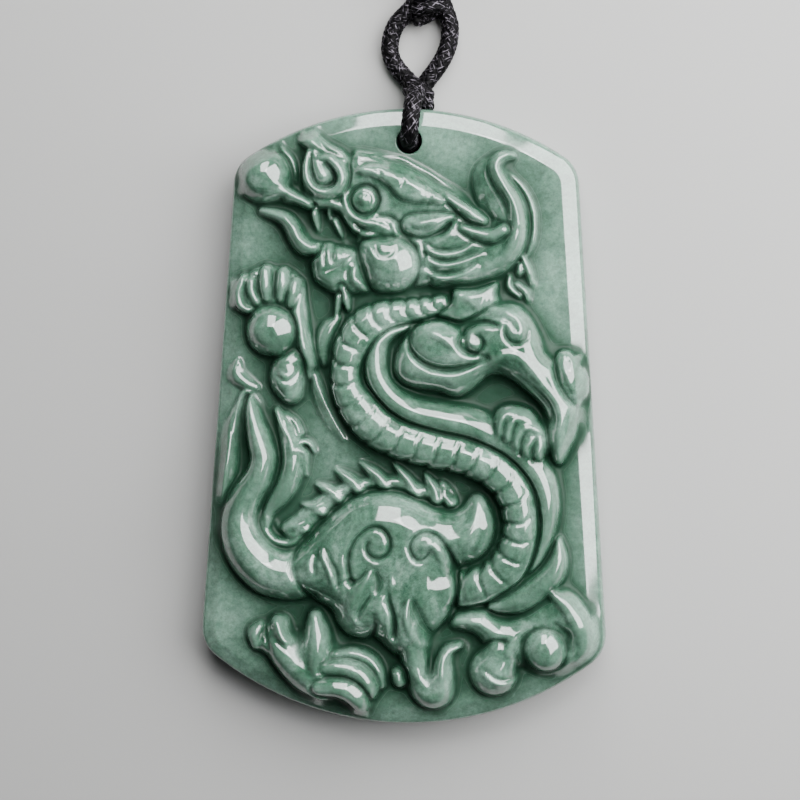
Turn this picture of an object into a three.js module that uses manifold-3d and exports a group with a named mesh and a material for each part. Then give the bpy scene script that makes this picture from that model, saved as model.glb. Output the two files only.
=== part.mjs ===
// Carved jade tablet pendant on a black braided cord.
// The tablet lies on its flat back: +Z is up out of the carved front, +Y is towards the
// drilled hole, and the origin is the middle of the back face. Lengths are in millimetres.
import * as THREE from 'three';
import { mergeVertices } from 'three/addons/utils/BufferGeometryUtils.js';
import Module from 'manifold-3d';

// Tablet outline
const TABLET_WIDTH = 40.8;
const TABLET_HEIGHT = 61.5;
const TOP_WIDTH = 34.4;
const TOP_ARC_RADIUS = 28.5;
const FOOT_ARC_RADIUS = 31;
const TOP_CORNER_RADIUS = 3.5;
const FOOT_CORNER_RADIUS = 3.7;

// Tablet thickness, from the back face up to the carved ground and above it
const GROUND_THICKNESS = 5;
const RELIEF_HEIGHT = 3.7;
const RIM_WIDTH = 1.9;
const RIM_BEVEL_WIDTH = 1.35;
const RIM_BEVEL_DROP = 0.5;
const RIM_DROP = 2.1;
const BACK_EDGE_ROUND = 1;

// Hole for the cord, and the shallow groove that lets its back strand lie flush
const HOLE_RADIUS = 1.25;
const HOLE_FLARE = 0.15;
const HOLE_EDGE_DISTANCE = 3.3;
const HOLE_X = 0.5;
const HOLE_Y = TABLET_HEIGHT / 2 - HOLE_EDGE_DISTANCE;
const CORD_CLEARANCE = 0.3;

// Cord
const CORD_DIAMETER = 1.8;
const CORD_RADIUS = CORD_DIAMETER / 2;
const CORD_SIDES = 8;
const CORD_LIFT = 0.05;
const LOWER_KNOT_SIZE = [3.2, 2.6, 3.5];
const LOWER_KNOT_PLACE = [1.1, 32.4];
const UPPER_KNOT_SIZE = [3.8, 3.2, 3.2];
const UPPER_KNOT_PLACE = [2.2, 41.3];
const COIL_RADIUS = 10.5;
const COIL_COLUMNS = 4;
const COIL_LAYERS = 2;
const COIL_CENTRE = [2.4, 61.15];

// The carving is drawn on a sheet of this size and stretched over the tablet
const SHEET_WIDTH = 40.8;
const SHEET_HEIGHT = 61.5;
const SHEET_RELIEF = 3.7;
const SHEET_PITCH = 0.16;
const SHEET_MARGIN = 0.6;
const FLANK = 0.7;
const SEAM_DEPTH = 0.55;
const CARVING_ERROR = 0.33;
const OUTLINE_WEIGHT = 12;
const POLISH_ROUNDS = 14;
const GRID = 256;

const JADE = { color: 0x86a894, roughness: 0.18, metalness: 0 };
const CORD = { color: 0x121113, roughness: 0.6, metalness: 0 };

// Smooth run of places through hand-set points, a cubic through each four of them.
// A closed run comes back to its first point.
function smoothRun(points, step, closed = false) {
  const count = points.length;
  const pick = (i) => {
    if (closed) return points[(i + count) % count];
    if (i < 0) return points[0].map((value, k) => 2 * value - points[1][k]);
    if (i >= count) return points[count - 1].map((value, k) => 2 * value - points[count - 2][k]);
    return points[i];
  };
  const run = [];
  const spans = closed ? count : count - 1;
  for (let i = 0; i < spans; i++) {
    const [a, b, c, d] = [pick(i - 1), pick(i), pick(i + 1), pick(i + 2)];
    const parts = Math.max(1, Math.ceil(Math.hypot(c[0] - b[0], c[1] - b[1]) / step));
    for (let j = 0; j < parts; j++) {
      const t = j / parts;
      run.push(b.map((value, k) => 0.5 * (2 * value + (c[k] - a[k]) * t
        + (2 * a[k] - 5 * value + 4 * c[k] - d[k]) * t * t
        + (3 * value - a[k] - 3 * c[k] + d[k]) * t * t * t)));
    }
  }
  if (!closed) run.push(points[count - 1]);
  return run;
}

// Where a place falls along a straight stretch, from 0 to 1.
function shareAlong(x, y, a, b) {
  const dx = b[0] - a[0];
  const dy = b[1] - a[1];
  const square = dx * dx + dy * dy;
  if (square < 1e-9) return 0;
  return Math.min(1, Math.max(0, ((x - a[0]) * dx + (y - a[1]) * dy) / square));
}

// Quarter-round rise from 0 at the edge to 1 at the top.
const roundRise = (part) => Math.sqrt(Math.max(0, 1 - (1 - part) * (1 - part)));

// Rise of a carved form from 0 at the edge to 1 at the top, with sloping flanks.
const domeRise = (part) => Math.max(0, 1 - (1 - part) * (1 - part)) ** FLANK;

// Smooth rise from 0 to 1.
const softStep = (part) => part * part * (3 - 2 * part);

// The carving as heights above the carved ground, on a square grid.
// A stroke is a list of [x, y, half width, height]; an outline is a list of [x, y].
class CarvingSheet {
  constructor() {
    this.columns = Math.round((SHEET_WIDTH + 2 * SHEET_MARGIN) / SHEET_PITCH) + 1;
    this.rows = Math.round((SHEET_HEIGHT + 2 * SHEET_MARGIN) / SHEET_PITCH) + 1;
    this.left = -SHEET_WIDTH / 2 - SHEET_MARGIN;
    this.low = -SHEET_HEIGHT / 2 - SHEET_MARGIN;
    this.heights = new Float64Array(this.columns * this.rows);
  }

  eachCell(x0, y0, x1, y1, visit) {
    const i0 = Math.max(0, Math.ceil((x0 - this.left) / SHEET_PITCH));
    const i1 = Math.min(this.columns - 1, Math.floor((x1 - this.left) / SHEET_PITCH));
    const j0 = Math.max(0, Math.ceil((y0 - this.low) / SHEET_PITCH));
    const j1 = Math.min(this.rows - 1, Math.floor((y1 - this.low) / SHEET_PITCH));
    for (let j = j0; j <= j1; j++) {
      for (let i = i0; i <= i1; i++) {
        visit(j * this.columns + i, this.left + i * SHEET_PITCH, this.low + j * SHEET_PITCH);
      }
    }
  }

  // Calls change(cell, share of the half width, distance past the edge, stroke height).
  alongStroke(stroke, reach, change) {
    const run = smoothRun(stroke.length > 1 ? stroke : [stroke[0], stroke[0]], 0.5);
    const nearest = new Map();
    for (let i = 0; i + 1 < run.length; i++) {
      const [a, b] = [run[i], run[i + 1]];
      const far = Math.max(a[2], b[2]) + reach;
      this.eachCell(Math.min(a[0], b[0]) - far, Math.min(a[1], b[1]) - far,
        Math.max(a[0], b[0]) + far, Math.max(a[1], b[1]) + far, (cell, x, y) => {
          const t = shareAlong(x, y, a, b);
          const away = Math.hypot(x - a[0] - t * (b[0] - a[0]), y - a[1] - t * (b[1] - a[1]));
          const half = Math.max(0.08, a[2] + (b[2] - a[2]) * t);
          const known = nearest.get(cell);
          if (known && known[0] <= away / half) return;
          nearest.set(cell, [away / half, away - half, a[3] + (b[3] - a[3]) * t]);
        });
    }
    for (const [cell, [share, past, height]] of nearest) change(cell, share, past, height);
  }

  // Calls change(cell, depth inside the outline, negative outside).
  insideOutline(outline, reach, change) {
    const run = smoothRun(outline, 0.5, true);
    const xs = run.map((p) => p[0]);
    const ys = run.map((p) => p[1]);
    this.eachCell(Math.min(...xs) - reach, Math.min(...ys) - reach,
      Math.max(...xs) + reach, Math.max(...ys) + reach, (cell, x, y) => {
        let away = Infinity;
        let inside = false;
        for (let i = 0; i < run.length; i++) {
          const a = run[i];
          const b = run[(i + 1) % run.length];
          const t = shareAlong(x, y, a, b);
          away = Math.min(away, Math.hypot(x - a[0] - t * (b[0] - a[0]), y - a[1] - t * (b[1] - a[1])));
          const crosses = (a[1] > y) !== (b[1] > y);
          if (crosses && x < a[0] + (y - a[1]) / (b[1] - a[1]) * (b[0] - a[0])) inside = !inside;
        }
        change(cell, inside ? away : -away);
      });
  }

  // A rounded ridge that melts into whatever stands higher.
  grow(stroke, foot = 0) {
    this.alongStroke(stroke, 0, (cell, share, past, height) => {
      if (share >= 1) return;
      const rise = foot + (height - foot) * domeRise(1 - share);
      this.heights[cell] = Math.max(this.heights[cell], rise);
    });
  }

  // What a form in front starts from: the surface below it evened out, and a little lower.
  groundFor(before, cell, foot) {
    let sum = 0;
    for (const up of [-3, 0, 3]) {
      for (const across of [-3, 0, 3]) sum += before[cell + up * this.columns + across] || 0;
    }
    return Math.max(foot, sum / 9 - SEAM_DEPTH);
  }

  // A rounded form that lies in front, with a shallow seam round it.
  over(stroke, foot, seam, fullness = 2) {
    const before = this.heights.slice();
    this.alongStroke(stroke, seam, (cell, share, past, height) => {
      const ground = this.groundFor(before, cell, foot);
      if (share < 1) {
        const start = Math.min(ground, Math.max(foot, height - 0.2));
        this.heights[cell] = start + (height - start) * domeRise(1 - share ** (fullness / 2));
      } else if (past < seam) {
        const groove = ground + (before[cell] - ground) * softStep(past / seam);
        this.heights[cell] = Math.min(before[cell], groove);
      }
    });
  }

  // A soft raised line on the surface below it.
  swell(stroke) {
    this.alongStroke(stroke, 0, (cell, share, past, height) => {
      if (share < 1) this.heights[cell] += height * (1 - share * share) ** 2;
    });
  }

  // A soft groove cut into the surface.
  cut(stroke) {
    this.swell(stroke.map(([x, y, half, depth]) => [x, y, half, -depth]));
  }

  // A plateau with rounded sides that melts into whatever stands higher.
  mass(outline, top, edge, foot = 0) {
    this.insideOutline(outline, 0, (cell, depth) => {
      if (depth <= 0) return;
      const rise = foot + (top - foot) * domeRise(Math.min(1, depth / edge));
      this.heights[cell] = Math.max(this.heights[cell], rise);
    });
  }

  // A plateau that lies in front, with a shallow seam round it.
  lay(outline, top, edge, foot, seam) {
    const before = this.heights.slice();
    this.insideOutline(outline, seam, (cell, depth) => {
      const ground = this.groundFor(before, cell, foot);
      if (depth > 0) {
        const start = Math.min(ground, top - 0.2);
        this.heights[cell] = start + (top - start) * domeRise(Math.min(1, depth / edge));
      } else if (depth > -seam) {
        const groove = ground + (before[cell] - ground) * softStep(-depth / seam);
        this.heights[cell] = Math.min(before[cell], groove);
      }
    });
  }

  // A pocket pressed down to a level, with sloping sides.
  press(outline, level, edge) {
    this.insideOutline(outline, 0, (cell, depth) => {
      if (depth <= 0) return;
      const drop = Math.min(0, level - this.heights[cell]);
      this.heights[cell] += drop * softStep(Math.min(1, depth / edge));
    });
  }

  // A soft plateau added to the surface below it.
  lift(outline, height, edge) {
    this.insideOutline(outline, 0, (cell, depth) => {
      this.heights[cell] += height * softStep(Math.min(1, Math.max(0, depth / edge)));
    });
  }

  // Softens every crease a little, as polishing does.
  polish() {
    const { columns, rows, heights } = this;
    for (const stride of [1, columns]) {
      const before = heights.slice();
      for (let j = 1; j < rows - 1; j++) {
        for (let i = 1; i < columns - 1; i++) {
          const cell = j * columns + i;
          heights[cell] = (before[cell - stride] + 2 * before[cell] + before[cell + stride]) / 4;
        }
      }
    }
  }

  // Height at a place on the sheet, between the four cells round it.
  at(x, y) {
    const across = Math.min(this.columns - 1.001, Math.max(0, (x - this.left) / SHEET_PITCH));
    const up = Math.min(this.rows - 1.001, Math.max(0, (y - this.low) / SHEET_PITCH));
    const i = Math.floor(across);
    const j = Math.floor(up);
    const cell = j * this.columns + i;
    const lower = this.heights[cell] * (i + 1 - across) + this.heights[cell + 1] * (across - i);
    const cellAbove = cell + this.columns;
    const upper = this.heights[cellAbove] * (i + 1 - across) + this.heights[cellAbove + 1] * (across - i);
    return lower * (j + 1 - up) + upper * (up - j);
  }
}

// The low mass that carries snout, face and mane.
function faceMass(sheet) {
  sheet.mass([[-9.6, 27.4], [-8.6, 28.2], [-7.4, 27], [-5.6, 26], [-4.4, 26.5], [-1.5, 25.7],
    [1.2, 24.7], [3.3, 23.4], [5.6, 22.2], [6.9, 21.1], [8.4, 19.9], [10.6, 19.6], [12.1, 18.6],
    [11.6, 16.6], [9, 14.3], [6, 13.4], [3, 13.2], [1, 13], [-3.4, 13.2], [-4.6, 16.6],
    [-4.9, 18.6], [-6.6, 20.3], [-8.2, 21], [-9.9, 21.3], [-10, 23.6]], 1.9, 1.8, 0);
}

// The long curved horn and mane that sweeps behind the head.
function mane(sheet) {
  sheet.grow([[8.8, 25.4, 0.7, 0.8], [8.1, 24.2, 1.3, 1.2], [8.7, 22.6, 1.9, 1.6],
    [9.6, 20.9, 2.2, 1.9], [10.2, 19.2, 2.1, 2.2], [9.9, 17.4, 2.1, 2.3], [8.6, 16, 2.2, 2.3],
    [6.2, 15.2, 2.2, 2.2], [3.6, 14.8, 1.9, 2]]);
  sheet.grow([[10.6, 26, 0.35, 1.6], [9.6, 25.8, 0.7, 2.1], [9, 24.8, 0.85, 2.4],
    [9.6, 23.3, 1, 2.7], [10.7, 21.5, 1.15, 2.9], [11.1, 19.7, 1.25, 3], [11, 18.1, 1.3, 3],
    [10.4, 16.7, 1.3, 2.8], [8.8, 15.3, 1.3, 2.5], [6.4, 14.5, 1.2, 2.3], [3.4, 14.1, 1, 2.1]]);
  sheet.swell([[10.4, 26.1, 0.3, 0.3], [9.4, 25.5, 0.4, 0.4], [9.2, 24.6, 0.4, 0.4],
    [10, 23, 0.45, 0.4], [11, 21.1, 0.5, 0.35], [11.5, 19.2, 0.5, 0.2]]);
  sheet.press([[8.3, 22.6], [9, 20.8], [9.9, 19.5], [8.4, 19], [7, 20.4], [6.4, 22.2]], 0.8, 1.5);
}

// Nose wing curled round the nostril, upper lip and fold lines.
function snout(sheet) {
  sheet.over([[-9.2, 26.2, 0.35, 2], [-9.35, 24.8, 0.6, 2.5], [-9.1, 23.4, 0.75, 2.7],
    [-8, 22.45, 0.8, 2.8], [-6.7, 22.4, 0.75, 2.8], [-5.9, 23.3, 0.7, 2.8],
    [-6.1, 24.5, 0.75, 2.9], [-7, 25.5, 0.7, 2.8], [-8.1, 25.7, 0.4, 2.4]], 1.2, 0.3);
  sheet.grow([[-8.7, 26.2, 0.5, 2], [-8.3, 25, 0.85, 2.5], [-7.8, 23.95, 1, 2.8]], 1.2);
  sheet.grow([[-9.9, 27.6, 0.6, 1.4], [-9, 27.2, 0.9, 1.9], [-7.9, 26.6, 0.8, 2],
    [-6.6, 26.1, 0.7, 2], [-5.6, 25.4, 0.6, 2]]);
  sheet.grow([[-10, 21.7, 0.5, 1.9], [-8.6, 21.4, 0.7, 2.1], [-7, 21.3, 0.7, 2.1],
    [-5.9, 20.8, 0.6, 2], [-5.2, 19.8, 0.6, 1.9], [-4.6, 18.8, 0.5, 1.9]], 0.4);
}

// Open mouth, teeth, lower jaw with its lobes and beard.
function jaws(sheet) {
  sheet.press([[-9.9, 20.7], [-9.8, 18.9], [-9, 17.9], [-7.6, 17.7], [-6.2, 18], [-4.9, 18.2],
    [-5.4, 19.3], [-6.4, 20.2], [-7.4, 20.9], [-8.8, 20.9]], 0.2, 0.7);
  sheet.over([[-8.75, 20.9, 0.45, 1.8], [-8.65, 19.9, 0.42, 1.7], [-8.4, 18.7, 0.12, 1]], 0.2, 0.1);
  sheet.grow([[-6.7, 19.6, 0.35, 1.5], [-6.3, 18.7, 0.28, 1.4], [-6, 18, 0.1, 1]]);
  sheet.lay([[-9.1, 16.2], [-8.9, 14], [-7.6, 12.8], [-6.2, 12.3], [-4.6, 12.4], [-3.2, 12.7],
    [-3.3, 14.2], [-4, 15.8], [-4.7, 16.9], [-6, 17.1], [-7.4, 17.5], [-8.3, 17.2]], 2.3, 1.3, 0.3, 0.3);
  sheet.over([[-5.9, 13, 0.5, 1.8], [-5.6, 12, 0.5, 1.7], [-5.4, 10.9, 0.2, 1.4]], 0.5, 0.2);
  sheet.over([[-6.3, 12.2, 0.35, 1.6], [-6.4, 11.2, 0.35, 1.3], [-6.6, 10.2, 0.15, 1.1]], 0.4, 0.2);
}

// Flaming pearl by the mouth, with the whisker that trails below it.
function whisker(sheet) {
  sheet.over([[-12.8, 22.9, 1.3, 2.2], [-11.6, 22.2, 0.9, 2.2], [-10.4, 21.7, 0.65, 2.2],
    [-9.2, 21.1, 0.5, 2.1]], 0.3, 0.3);
  sheet.over([[-13.95, 20.55, 0.45, 1.2], [-12.7, 20.2, 0.6, 1.6], [-11.6, 19.7, 0.8, 2],
    [-10.9, 18.8, 0.9, 2.2], [-10.4, 17.8, 0.95, 2.3], [-9.7, 17, 0.95, 2.4],
    [-8.8, 16.8, 0.7, 2.3], [-8.3, 17.2, 0.25, 2.2]], 0.2, 0.4);
  sheet.over([[-13.8, 23.95, 2.8, 3], [-13.65, 23.95, 2.8, 3]], 0, 0.45);
  sheet.grow([[-13.6, 22.4, 1.2, 2.2], [-12.4, 22.6, 0.9, 2.5], [-11.4, 22.25, 0.7, 2.3],
    [-10.4, 21.8, 0.5, 2.2]]);
}

// Round cheek with its small boss, and the ear behind it.
function cheek(sheet) {
  sheet.lay([[0.2, 17.7], [1.3, 16.8], [1.7, 15.4], [1.4, 13.9], [0.3, 12.8], [-1.5, 12.45],
    [-3.1, 12.9], [-3.9, 14.6], [-4.4, 16.5], [-4, 17.6], [-2.6, 17.9], [-0.9, 18]], 3.15, 2.6, 0.4, 0.35);
  sheet.over([[0.85, 19.2, 1, 2.7], [1.9, 19.15, 1.2, 2.9], [3.2, 19.4, 1, 2.9],
    [4.2, 19.8, 0.6, 2.6], [5, 20, 0.25, 2.3]], 1, 0.35);
}

const BACK_BAND = [[0.9, 9.5, 0.6, 1.9], [-1.2, 8.9, 1.1, 2.5], [-2.4, 7.6, 1.35, 2.8],
  [-2.6, 5.6, 1.5, 2.9], [-2.2, 3.9, 1.6, 2.9], [-0.9, 2.1, 1.75, 2.9], [1.2, 0.8, 1.8, 2.9],
  [4, 0.1, 2, 2.9], [6.8, -0.5, 2, 2.8], [9.2, -1.6, 2, 2.6], [11.6, -3.2, 2, 2.6],
  [13.4, -5.2, 1.8, 2.7], [14.3, -7.6, 1.45, 2.7], [14.4, -10, 1.15, 2.5], [13.7, -12.5, 1, 2.2],
  [12.3, -14.9, 0.9, 1.9], [10.4, -16.8, 0.7, 1.6]];

const BELLY_BAND = [[3.9, 11.6, 0.9, 1.5, -0.3], [2, 11, 1.15, 1.9, -0.3],
  [0, 10.7, 1.25, 2.2, -0.3], [-2, 10.3, 1.5, 2.6, -0.1], [-3.9, 9.1, 1.75, 2.9, 0.2],
  [-5.1, 7.1, 1.75, 3.1, 0.4], [-5.5, 5, 1.6, 3.1, 0.3], [-5.3, 3, 1.75, 3.1, 0],
  [-4.2, 1.1, 2, 3.1, 0], [-2.5, -0.7, 2.05, 3.1, 0.3], [-0.2, -1.95, 1.95, 3.1, 0.5],
  [3.1, -2.9, 1.9, 3.1, 0.5], [6.4, -3.6, 1.85, 3.1, 0.4], [9.3, -5, 1.85, 3.2, 0],
  [11.1, -7.1, 1.9, 3.3, -0.4], [11.75, -9.7, 1.85, 3.3, -0.3], [11.5, -12, 1.85, 3.2, -0.1],
  [10.5, -14.2, 1.95, 3, 0.2], [8.9, -15.7, 1.95, 2.8, 0.4], [6.9, -16.4, 1.95, 2.5, 0.4],
  [5, -16.6, 1.9, 2.2, 0.4]];

// Smooth back band and belly band of the body that winds to the haunch.
function coils(sheet) {
  sheet.over(BACK_BAND, 0.1, 0.4);
  sheet.over(BELLY_BAND, 0.1, 0.3, 3.2);
}

// Shoulder plate, the arm with its outer lobe as one form, and the lobe over it.
function shoulder(sheet) {
  sheet.mass([[5, 13], [7.2, 13.2], [9.3, 13.7], [9.5, 12.4], [10, 11], [9, 10], [6, 9.4],
    [4, 10], [3.4, 10.4], [4.6, 11.7]], 2.2, 0.9);
  sheet.lift([[5.8, 12.3], [8.4, 12.8], [8.3, 11.4], [7.6, 10.6], [6.6, 11.2]], 0.3, 0.6);
  sheet.lay([[0.2, 8.3], [-0.5, 7.2], [-0.95, 5.8], [-0.9, 4.5], [-0.2, 3.6], [0.9, 3.1],
    [2.2, 2.9], [3.6, 2.7], [4.8, 2.3], [5.8, 2.3], [6.8, 2.8], [7.7, 3.6], [8.6, 4.3],
    [9.8, 4.4], [11, 3.8], [12.2, 2.8], [13.3, 1.8], [14, 0.6], [13.9, -0.6], [14, -2.2],
    [14.9, -4], [15.8, -4.2], [16.5, -3.2], [17.2, -1.6], [17.6, 0.4], [17.6, 2.4], [17, 4.4],
    [15.6, 6], [14.4, 6.8], [13.7, 8.4], [12.9, 10], [11.7, 11.3], [10.2, 11.7], [8.8, 11.3],
    [7.4, 10.4], [5.6, 9.6], [3.6, 9.9], [1.6, 9.5]], 3.55, 2.1, 0.2, 0.4);
  sheet.lay([[0.9, 8.2], [1.4, 9.2], [2.6, 9.8], [4.2, 9.8], [5.4, 9.3], [6.2, 8.4], [6.4, 7.2],
    [7.4, 6.5], [8.4, 6.3], [7.4, 5.8], [6.4, 5.4], [5, 5.1], [3.6, 5.2], [2.3, 5.7], [1.3, 6.6],
    [0.9, 7.4]], 3.85, 1.9, 1.5, 0.55);
  sheet.cut([[0.7, 8.1, 0.25, 0.3], [1, 7, 0.4, 0.5], [1.9, 6, 0.45, 0.7], [3.2, 5.4, 0.48, 0.8],
    [4.8, 5.2, 0.46, 0.8], [6.4, 5.5, 0.38, 0.6], [7.8, 6.05, 0.2, 0.3]]);
  sheet.swell([[2.4, 8.9, 0.5, 0.15], [3.8, 8.5, 0.7, 0.3], [5.2, 7.4, 0.6, 0.3],
    [6.6, 6.5, 0.4, 0.15]]);
}

// Hollow under the forearm arch, its inner line, the knee and the wrist.
function foreleg(sheet) {
  sheet.press([[8, 3.4], [9, 4], [10.4, 3.9], [11.6, 3.1], [12.8, 2.2], [13.3, 1], [12.4, 1],
    [11, 1.8], [9.6, 1.6], [8.6, 1.5], [7.4, 2.1]], 0.5, 0.8);
  sheet.swell([[8.9, 5.7, 0.4, 0.15], [10, 6.6, 0.6, 0.25], [11.4, 6.5, 0.6, 0.25],
    [12.8, 5.2, 0.6, 0.25], [13.9, 3.6, 0.6, 0.25], [15, 2, 0.6, 0.25], [15.5, 0.4, 0.6, 0.25],
    [15.2, -1.2, 0.4, 0.15]]);
  sheet.over([[16, 6.1, 0.95, 2.8], [16.5, 4.9, 1.5, 3.3], [17, 3.6, 1.4, 3.1],
    [17.3, 2.4, 0.7, 2.6]], 1.8, 0.3);
  sheet.swell([[15.6, 6, 0.3, 0.1], [16, 4.8, 0.5, 0.25], [16.6, 3.4, 0.4, 0.2]]);
}

// Knuckles, fingers and claws of the gripping hand.
function hand(sheet) {
  sheet.mass([[9.2, 0.9], [10.1, 1.6], [11.3, 1.7], [12.6, 1.4], [13.6, 0.4], [14.4, -0.8],
    [14.6, -2.4], [14, -3.8], [12.6, -4], [11.4, -3.3], [10.2, -2.4], [9.2, -1.6], [8.9, -0.2]], 3.1, 1.1, 0.8);
  sheet.swell([[10.9, 1.2, 0.5, 0.2], [10, 0.7, 0.5, 0.35], [9.6, -0.4, 0.4, 0.35],
    [9.6, -1.5, 0.3, 0.3]]);
  sheet.swell([[11.9, 0.5, 0.45, 0.2], [10.9, 0, 0.42, 0.35], [10.5, -1.2, 0.36, 0.35],
    [10.4, -2.1, 0.2, 0.2]]);
  sheet.swell([[12.3, -0.5, 0.4, 0.25], [13.2, -0.5, 0.5, 0.35], [13.9, -0.8, 0.4, 0.25]]);
  sheet.swell([[13.9, -1.9, 0.5, 0.2], [13.6, -3, 0.5, 0.35], [14.2, -4, 0.35, 0.2]]);
}

// The raised paw on the left that holds a ball.
function leftPaw(sheet) {
  sheet.mass([[-16.6, 13.2], [-15.6, 14.3], [-13.9, 15.2], [-12.4, 15.1], [-11, 14.8],
    [-9.9, 13.6], [-9.5, 11.4], [-9, 8.6], [-8.3, 5.4], [-9.6, 3.6], [-10.6, 5.6], [-13, 6],
    [-15.2, 8], [-15.3, 10], [-16.9, 11.8]], 1.5, 1);
  sheet.grow([[-10.4, 13.4, 0.7, 1.9], [-10.3, 10.9, 0.9, 2.3], [-9.9, 8.6, 0.9, 2.5],
    [-9.5, 6.8, 0.9, 2.4], [-9, 5.4, 0.6, 1.8]], 0.2);
  sheet.over([[-14.9, 10.6, 0.4, 1.6], [-16, 11.2, 0.6, 1.7], [-16.3, 12.5, 0.75, 1.9],
    [-15.7, 13.7, 0.7, 1.8]], 0.3, 0.2);
  sheet.over([[-14.4, 11.6, 0.5, 1.8], [-14.9, 12.6, 0.6, 2], [-14.9, 13.6, 0.55, 1.9]], 0.4, 0.2);
  sheet.over([[-13.4, 12, 0.55, 2], [-13.5, 13.3, 0.8, 2.3], [-13.5, 14.6, 0.7, 2.1]], 0.4, 0.2);
  sheet.over([[-12, 12, 0.55, 2.1], [-11.8, 13.2, 0.8, 2.4], [-11.8, 14.4, 0.7, 2.1]], 0.4, 0.2);
  sheet.over([[-11, 11.4, 0.5, 2.1], [-10.7, 12.6, 0.65, 2.3], [-10.5, 13.5, 0.55, 2]], 0.6, 0.2);
  sheet.over([[-11.3, 5.6, 1.6, 2.4], [-11.4, 4, 1.85, 2.5], [-11.1, 2.8, 1.4, 2.2]], 0.1, 0.35);
  sheet.over([[-13, 8.7, 2.6, 3.2], [-12.9, 8.65, 2.6, 3.2]], 0.2, 0.4);
}

// Low fins and hair lines between the paw and the body.
function sideFins(sheet) {
  sheet.grow([[-6.4, 10, 0.4, 0.9], [-7.4, 8.8, 1, 1.2], [-7.9, 7.2, 0.9, 1.1],
    [-7.7, 5.6, 0.5, 0.8]]);
  sheet.grow([[-8.7, 4.6, 0.4, 0.7], [-8.3, 3, 0.8, 0.7], [-7.6, 1.2, 0.9, 0.65],
    [-6.7, -0.6, 0.7, 0.5], [-5.8, -2, 0.3, 0.3]]);
  sheet.grow([[-16.4, 5.6, 0.4, 0.5], [-16.6, 4.4, 0.8, 0.8], [-15.7, 3.5, 0.7, 0.8],
    [-14.6, 3, 0.4, 0.6]]);
}

// The tail tube and the two fronds that flank it.
function tail(sheet) {
  sheet.grow([[-16.2, 1.6, 0.4, 0.5], [-16.9, -0.6, 0.7, 0.8], [-17.2, -2.6, 1, 1.1],
    [-17.35, -4.4, 1.2, 1.3], [-17.5, -6.2, 1.2, 1.3], [-17.8, -7.8, 1, 1.2],
    [-17.95, -9, 0.7, 0.9], [-17.95, -9.8, 0.3, 0.5]]);
  sheet.over([[-12.4, 0.9, 0.35, 1], [-11.6, -0.6, 0.9, 1.6], [-11, -2.4, 1.2, 1.9],
    [-10.85, -4.4, 1.25, 2], [-11.3, -6.2, 1.3, 2], [-12.3, -7.8, 1.15, 1.9],
    [-13.2, -9.1, 0.8, 1.6], [-13.6, -10.6, 0.6, 1.3]], 0.1, 0.3);
  sheet.grow([[-11.5, 0.5, 0.25, 0.8], [-10.6, -0.3, 0.35, 1.1], [-10.1, -1.4, 0.4, 1.3]]);
  sheet.grow([[-10.2, -3, 0.5, 1.7], [-9.6, -3.4, 0.35, 1.3], [-9.5, -4.6, 0.25, 0.9],
    [-9.5, -5.6, 0.18, 0.6]]);
  sheet.over([[-15.05, 2, 0.3, 1.4], [-14.9, 0.8, 0.75, 2], [-14.55, -0.8, 1.1, 2.4],
    [-14.1, -2.4, 1.4, 2.7], [-13.75, -4, 1.5, 2.8], [-14.2, -5.8, 1.6, 2.9],
    [-15.3, -7.6, 1.75, 2.9], [-16, -9.4, 1.95, 3], [-16, -11.3, 2.2, 3.1],
    [-15.2, -13.2, 2.5, 3.2], [-13.5, -14.9, 2.7, 3.3], [-11.5, -15.5, 2.7, 3.3],
    [-9.6, -15.2, 2.7, 3.3]], 0.1, 0.45);
}

// Row of pointed fin leaves along the back of the haunch.
function dorsalFin(sheet) {
  sheet.mass([[-12.2, -10.8], [-10.6, -9.4], [-9.2, -8.2], [-7.4, -7], [-5.2, -6], [-2.6, -5.6],
    [0, -5.4], [2.6, -6.4], [4.6, -7.2], [4.4, -8.4], [1.6, -7.6], [-1.6, -6.8], [-4.4, -7.2],
    [-6.4, -8.6], [-8.2, -10.4], [-9.6, -12.4], [-11.2, -12.4]], 1.2, 1);
}

// The big rounded haunch under the coils.
function haunch(sheet) {
  sheet.lay([[-10.6, -14.6], [-10.2, -12.6], [-8.4, -10.7], [-6.6, -9], [-4.6, -7.6],
    [-2, -6.95], [0.5, -7.25], [2.8, -8.25], [4.6, -8.75], [6, -8.3], [7, -7.2], [8.2, -7.2],
    [9.2, -8.8], [9.5, -10.8], [8.8, -12.8], [7.4, -14], [5.7, -14.8], [5.6, -16.6],
    [5.2, -18.6], [4.3, -20.2], [3.2, -21.4], [2.9, -22.8], [1.4, -23.6], [-0.4, -23.5],
    [-1.6, -22.6], [-2.6, -21.8], [-3.9, -21.9], [-5.4, -21.5], [-6.4, -20.4], [-7.1, -19],
    [-8.6, -18.1], [-9.7, -16.6]], 3.7, 3.6, 0.2, 0.4);
  sheet.press([[4, -6.6], [5.2, -5.9], [6.4, -6.2], [6.6, -7.2], [5.6, -8], [4.6, -7.8]], 0.4, 0.7);
  sheet.swell([[6.6, -6.9, 0.5, 0.1], [8, -7.7, 0.8, 0.3], [8.8, -9.6, 0.9, 0.35],
    [8.7, -11.6, 0.9, 0.35], [7.6, -13.4, 0.6, 0.2]]);
}

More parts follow.
